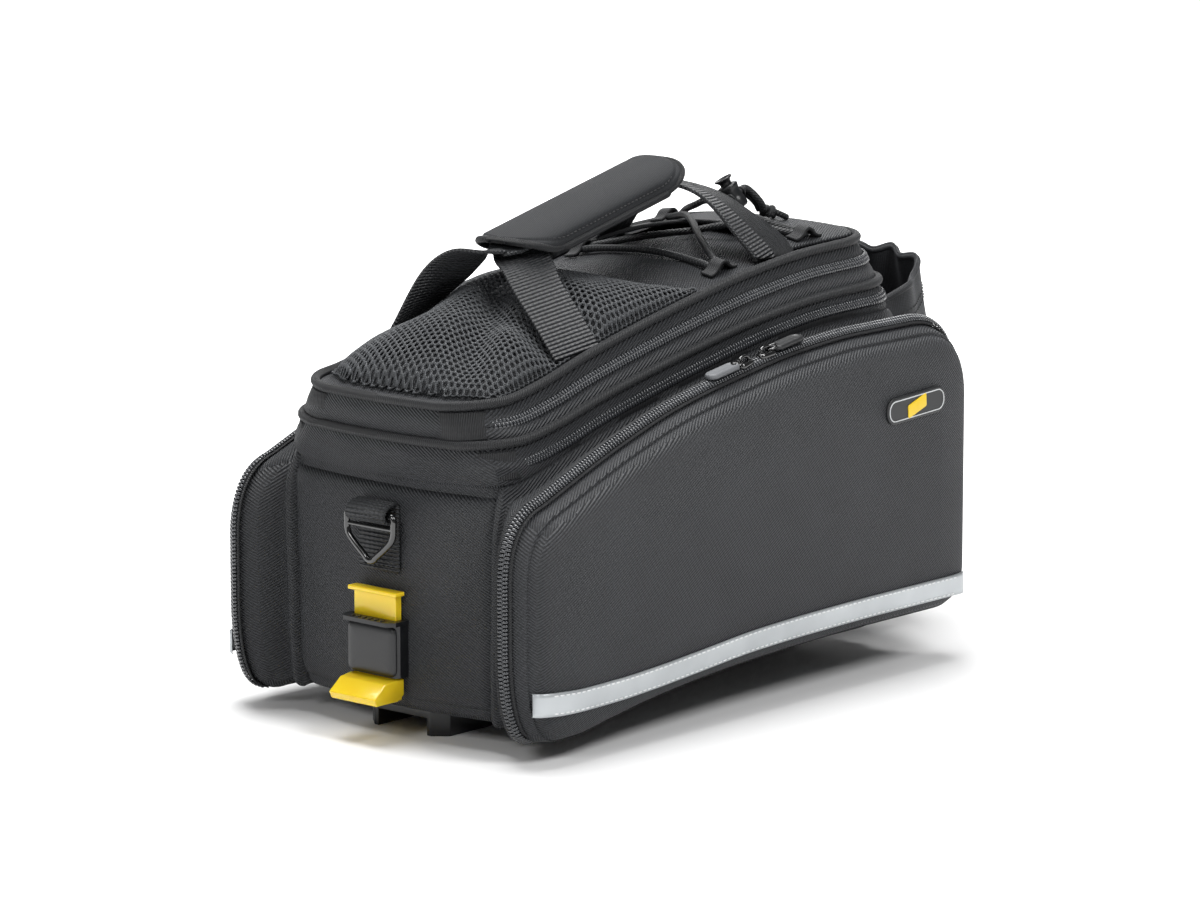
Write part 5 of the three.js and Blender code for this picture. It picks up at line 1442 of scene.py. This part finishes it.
def buildKnot():
    at = onLid(lidSpots["knot"], knot["side"], knot["lift"])
    turn = np.linspace(0, 2 * math.pi, 91)[:-1]
    scale = (knot["radius"] - 1.7) / 3.0
    path = np.stack([np.sin(turn) + 2 * np.sin(2 * turn), np.cos(turn) - 2 * np.cos(2 * turn),
                     -np.sin(3 * turn) * 1.5], 1) * scale
    addGrid("knot", tube(at + path, knot["strand"], 10, True), braid, closedAcross=True, closedAlong=True,
            threads=True, nodes=("bungee_knot",), slot="elastic")
    for end, side in (("Near", -1), ("Far", 1)):
        tail = spline([at, at + [3.2, side * 2.2, -0.6], at + [7.2, side * 4.2, -2.6],
                       at + [11, side * 4.8, -4.4]], 22)
        addGrid("knotEnd" + end, tube(tail, 1.9, 10), braid, closedAcross=True, capped=True, threads=True,
                slot="elastic")


buildKnot()
print("bungee built")

# The bottle pouch: thin cloth, gathered at its rim, flat against the rear wall
pouch = {"radius": 52, "out": 46, "wall": 2.2, "floor": 44, "rimRear": 211, "rimFront": 187, "rimLean": 3,
         "gathers": 9, "ruffle": 2.2, "neck": 8, "hem": 1.9, "fold": 3.2, "foldIn": 2.2, "columns": 264}


def pouchRing(share, inset, lifted=0.0):
    turn = np.linspace(0, 2 * math.pi, pouch["columns"], endpoint=False)
    rim = mix(pouch["rimFront"], pouch["rimRear"], (1 + np.cos(turn)) / 2) + pouch["rimLean"] * np.sin(turn)
    drawn = np.clip((share - 0.72) / 0.28, 0, 1)
    gather = pouch["ruffle"] * np.cos(pouch["gathers"] * turn + 1.1 * np.sin(3 * turn)) * drawn
    neck = pouch["neck"] * np.clip((share - 0.7) / 0.3, 0, 1)
    radius = pouch["radius"] * mix(0.9, 1, min(1, share * 2)) - inset - neck
    radius = radius + gather
    spots = [Vector((math.cos(a) * 2.2, math.sin(a) * 2.2, share * 1.2)) for a in turn]
    fold = np.array([noise.noise(spot) for spot in spots])
    slack = 0.35 + 0.65 * math.sin(math.pi * min(share + 0.1, 1))
    radius = radius + pouch["fold"] * fold * slack - pouch["foldIn"]
    x = np.maximum(bag["rear"] + pouch["out"] + radius * np.cos(turn), bag["rear"] + 0.3 + inset)
    z = mix(pouch["floor"], rim + gather * 0.7, share) + lifted
    return np.stack([x, radius * np.sin(turn), z], 1)


def buildPouch():
    wall = pouch["wall"]
    edge = [pouchRing(0, 12, -0.2), pouchRing(0, 4), pouchRing(0.005, 1.2), pouchRing(0.02, 0.2)]
    outer = np.concatenate([np.linspace(0.05, 0.7, 22), np.linspace(0.715, 0.995, 20)])
    inner = np.concatenate([np.linspace(0.985, 0.72, 16), np.linspace(0.68, 0.06, 14)])
    up = [pouchRing(s, 0) for s in outer]
    rim = [pouchRing(1.0, 0.3), pouchRing(1.004, 1.0), pouchRing(1.0, 1.8)]
    down = [pouchRing(s, wall) for s in inner]
    grid = edge + up + rim + down + [pouchRing(0.02, 5, 2.4), pouchRing(0.02, 16, 2.4)]
    addGrid("pouch", np.array(grid), nylonCloth, closedAcross=True, capped=True, nodes=("bottle_pouch",),
            slot="twill")
    hem = pouchRing(0.985, wall / 2, 0.4)
    hem[:, 0] = np.maximum(hem[:, 0], bag["rear"] + 0.4 + pouch["hem"])
    addGrid("pouchHem", tube(hem, pouch["hem"], 10, True), nylonCloth, closedAcross=True, closedAlong=True,
            threads=True, slot="twill")
    for k, share in enumerate((0.88, 0.905)):
        line = pouchRing(share, -0.1)
        out = unit((line - [bag["rear"] + pouch["out"], 0, 0]) * [1, 1, 0])
        keep = line[:, 0] > bag["rear"] + 2
        first = int(np.argmin(keep))
        line, out, keep = (np.roll(v, -first, axis=0) for v in (line, out, keep))
        addStitches(f"pouchStitches{k + 1}", [(line[keep], out[keep])], pitch=3.6, length=2.4)


buildPouch()
print("pouch built")

# Front: webbing loop with its ring
loop = {"width": 29, "bar": 118, "above": 6, "below": 32, "thick": 1.5, "backThick": 1.6, "back": -175.6}
dRing = {"width": 38, "barX": -182.9, "bar": 118, "crossbar": 7, "straight": 11, "tip": 17, "wire": 3.5,
         "tipHalf": 5}


def addFold(name, profile, half, thick, **more):
    # webbing laid along a profile in the plane that halves the bag
    line = spline(profile, 60)
    path = np.stack([line[:, 0], np.zeros(len(line)), line[:, 1]], 1)
    side = np.tile([0.0, 1.0, 0.0], (len(path), 1))
    out = unit(np.cross(side, alongOf(path)))
    section = [(-half, -thick / 2), (half, -thick / 2), (half, thick * 0.3), (half - 0.6, thick / 2),
               (0, thick * 0.42), (-half + 0.6, thick / 2), (-half, thick * 0.3)]
    addGrid(name, sweep(path, side, out, section), webbing, closedAcross=True, capped=True, threads=True,
            slot="webbing", **more)


def buildLoop():
    bar, back, half = loop["bar"], loop["back"], loop["width"] / 2
    low = bar - loop["below"]
    addFold("loopBack", [(back, low), (back, bar - 20), (back, bar - 8), (back, bar + loop["above"] - 1)],
            half, loop["backThick"], nodes=("ring_loop",))
    addFold("loopFront", [(back - 1.2, bar - 3.9), (-180, bar - 3.9), (-183.8, bar - 3.7),
                          (-186.1, bar - 2.2), (-186.7, bar + 0.4), (-185.2, bar + 3.2), (-182, bar + 5.0),
                          (-178.5, bar + 5.8), (back - 1, bar + 6.2)], half - 0.2, loop["thick"])
    rows = []
    for z in (low + 2.4, low + 5.2):
        y = np.linspace(-half + 2, half - 2, 20)
        line = np.stack([np.full(20, back - 0.9), y, np.full(20, z)], 1)
        rows.append((line, np.tile([-1.0, 0.0, 0.0], (20, 1))))
    addStitches("loopStitches", rows, pitch=3.2, length=2.2)


buildLoop()


def buildRing():
    half, wire = dRing["width"] / 2 - dRing["wire"] / 2, dRing["wire"] / 2 + 0.15
    low = -dRing["straight"] - dRing["tip"] + wire * 1.2
    turn = np.radians(np.linspace(-32, -148, 7))
    bend = np.stack([dRing["tipHalf"] * np.cos(turn), low + dRing["tipHalf"] * (1 + np.sin(turn))], 1)
    corners = [(half - 3, 0), (half - 1, -0.5), (half, -2.4), (half, -6),
               (half - 0.2, -dRing["straight"] + 1), (half - 1.8, -dRing["straight"] - 2.5),
               (half - 6.4, -dRing["straight"] - 7)]
    flat = corners + [tuple(p) for p in bend] + [(-y, z) for y, z in corners[::-1]]
    line = spline([(0, 0)] + flat, 220, True)
    path = np.stack([np.full(len(line), dRing["barX"]), line[:, 0], dRing["bar"] + line[:, 1]], 1)
    out = np.tile([-1.0, 0.0, 0.0], (len(path), 1))
    aside = unit(np.cross(out, alongOf(path, True)))
    steel = {"body": "d_ring", "slot": "black_steel"}
    addGrid("ring", sweep(path, aside, out, roundSection(wire, 16, 0.86)), blackSteel, closedAcross=True,
            closedAlong=True, nodes=("d_ring",), **steel)
    cross = np.stack([np.full(24, dRing["barX"]), np.linspace(-half, half, 24),
                      np.full(24, dRing["bar"] - dRing["crossbar"])], 1)
    addGrid("ringBar", tube(cross, 1.25, 12), blackSteel, closedAcross=True, capped=True, **steel)


buildRing()
print("ring and loop built")


# Rigid pieces keep their own shape, with their edges softened
def soften(name, node, material, body, width):
    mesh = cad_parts[node].data.copy()
    mesh.name = name
    work = bmesh.new()
    work.from_mesh(mesh)
    bmesh.ops.remove_doubles(work, verts=work.verts, dist=1e-6)
    bmesh.ops.dissolve_limit(work, angle_limit=math.radians(1.5), verts=work.verts, edges=work.edges)
    work.to_mesh(mesh)
    work.free()
    mesh.materials.clear()
    mesh.materials.append(material)
    mesh.polygons.foreach_set("use_smooth", [True] * len(mesh.polygons))
    piece = bpy.data.objects.new(name, mesh)
    bpy.context.scene.collection.objects.link(piece)
    edge = piece.modifiers.new("edge", "BEVEL")
    edge.width = width / 1000
    edge.segments = 3
    edge.limit_method = "ANGLE"
    edge.angle_limit = math.radians(25)
    edge.harden_normals = True
    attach(piece, body)
    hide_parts(node)


soften("latchHousing", "latch_housing", blackNylon, "bag", 0.9)
soften("latch", "latch", yellowAcetal, "latch", 0.9)
soften("rail", "base_rail", blackNylon, "bag", 0.6)
# the housing's raised front face, rounded all round, and the small ribs on its shelf
housing = {"face": -181.7, "low": 29.5, "high": 58.5, "wide": 36, "corner": 4.5, "shelf": 60.8, "ribs": 6,
           "ribGap": 4.4, "ribX": -185.4, "ribSize": (3.6, 1.3, 0.6),
           "rings": [(0, 0), (0.1, 0.5), (0.5, 1.2), (1.3, 1.8), (2.6, 2.2), (4.6, 2.4), (9, 2.5)]}
addPlate("housingFace", (housing["face"], 0, (housing["low"] + housing["high"]) / 2), (0, 1, 0), (0, 0, 1),
         (-1, 0, 0), (housing["wide"], housing["high"] - housing["low"] - 0.6, housing["corner"]), blackNylon,
         housing["rings"], slot="black_nylon")
for k in range(housing["ribs"]):
    y = (k - (housing["ribs"] - 1) / 2) * housing["ribGap"]
    addPlate(f"housingRib{k + 1}", (housing["ribX"], y, housing["shelf"]), (1, 0, 0), (0, 1, 0), (0, 0, 1),
             housing["ribSize"], blackNylon, [(0, 0), (0, 0.5), (0.3, 0.8)], slot="black_nylon")
print("latch and rail built")

# Floor and soft studio light
studio = {"paper": ("#f1f1f1", "#f4f4f4"), "size": 14.0, "world": 0.14, "glowFrom": 0.3, "glowFull": 1.5,
          "glow": 0.95, "aim": (0, 0, 0.14),
          "lamps": [("keyLight", (-0.2, -1.5, 1.7), 0.7, 23), ("fillLight", (-1.9, -0.3, 1.2), 0.6, 11),
                    ("topLight", (0.1, 0.4, 2.0), 1.4, 60), ("rearLight", (1.6, 1.2, 1.1), 1.0, 10)]}


def buildStudio():
    paper, tree, shader = newMaterial("paper_backdrop", Roughness=0.9, Specular_IOR_Level=0.1)
    speckle = addNode(tree, "ShaderNodeTexNoise", {"Scale": 60.0, "Detail": 2.0})
    dull, bright = (linear(colour) for colour in studio["paper"])
    tint = addNode(tree, "ShaderNodeMix", {"data_type": "RGBA", 6: dull, 7: bright},
                   {0: speckle.outputs["Fac"]})
    tree.links.new(tint.outputs[2], shader.inputs["Base Color"])
    # the paper is lit from below away from the bag, as on a light table, so that it stays white
    spot = addNode(tree, "ShaderNodeTexCoord")
    away = addNode(tree, "ShaderNodeVectorMath", {"operation": "LENGTH"}, {0: spot.outputs["Object"]})
    glow = addNode(tree, "ShaderNodeMapRange", {
        "From Min": studio["glowFrom"], "From Max": studio["glowFull"], "To Max": studio["glow"]},
        {"Value": away.outputs["Value"]})
    shader.inputs["Emission Color"].default_value = linear("#ffffff")
    tree.links.new(glow.outputs[0], shader.inputs["Emission Strength"])
    reach, ground = studio["size"], cadBox[0][2]
    square = [(x, y, ground) for x, y in ((-reach, -reach), (reach, -reach), (reach, reach), (-reach, reach))]
    mesh = bpy.data.meshes.new("floor")
    mesh.from_pydata(square, [], [(0, 1, 2, 3)])
    mesh.materials.append(paper)
    floor = bpy.data.objects.new("floor", mesh)
    bpy.context.scene.collection.objects.link(floor)
    world = bpy.data.worlds.new("studio")
    world.use_nodes = True
    world.node_tree.nodes["Background"].inputs["Color"].default_value = linear("#ffffff")
    world.node_tree.nodes["Background"].inputs["Strength"].default_value = studio["world"]
    bpy.context.scene.world = world
    for name, at, size, power in studio["lamps"]:
        lamp = bpy.data.lights.new(name, "AREA")
        lamp.energy = power
        lamp.size = size
        held = bpy.data.objects.new(name, lamp)
        held.location = at
        held.rotation_mode = "QUATERNION"
        held.rotation_quaternion = (Vector(studio["aim"]) - Vector(at)).to_track_quat("-Z", "Y")
        bpy.context.scene.collection.objects.link(held)


buildStudio()
bpy.context.scene.view_settings.view_transform = "Standard"
print("studio ready")
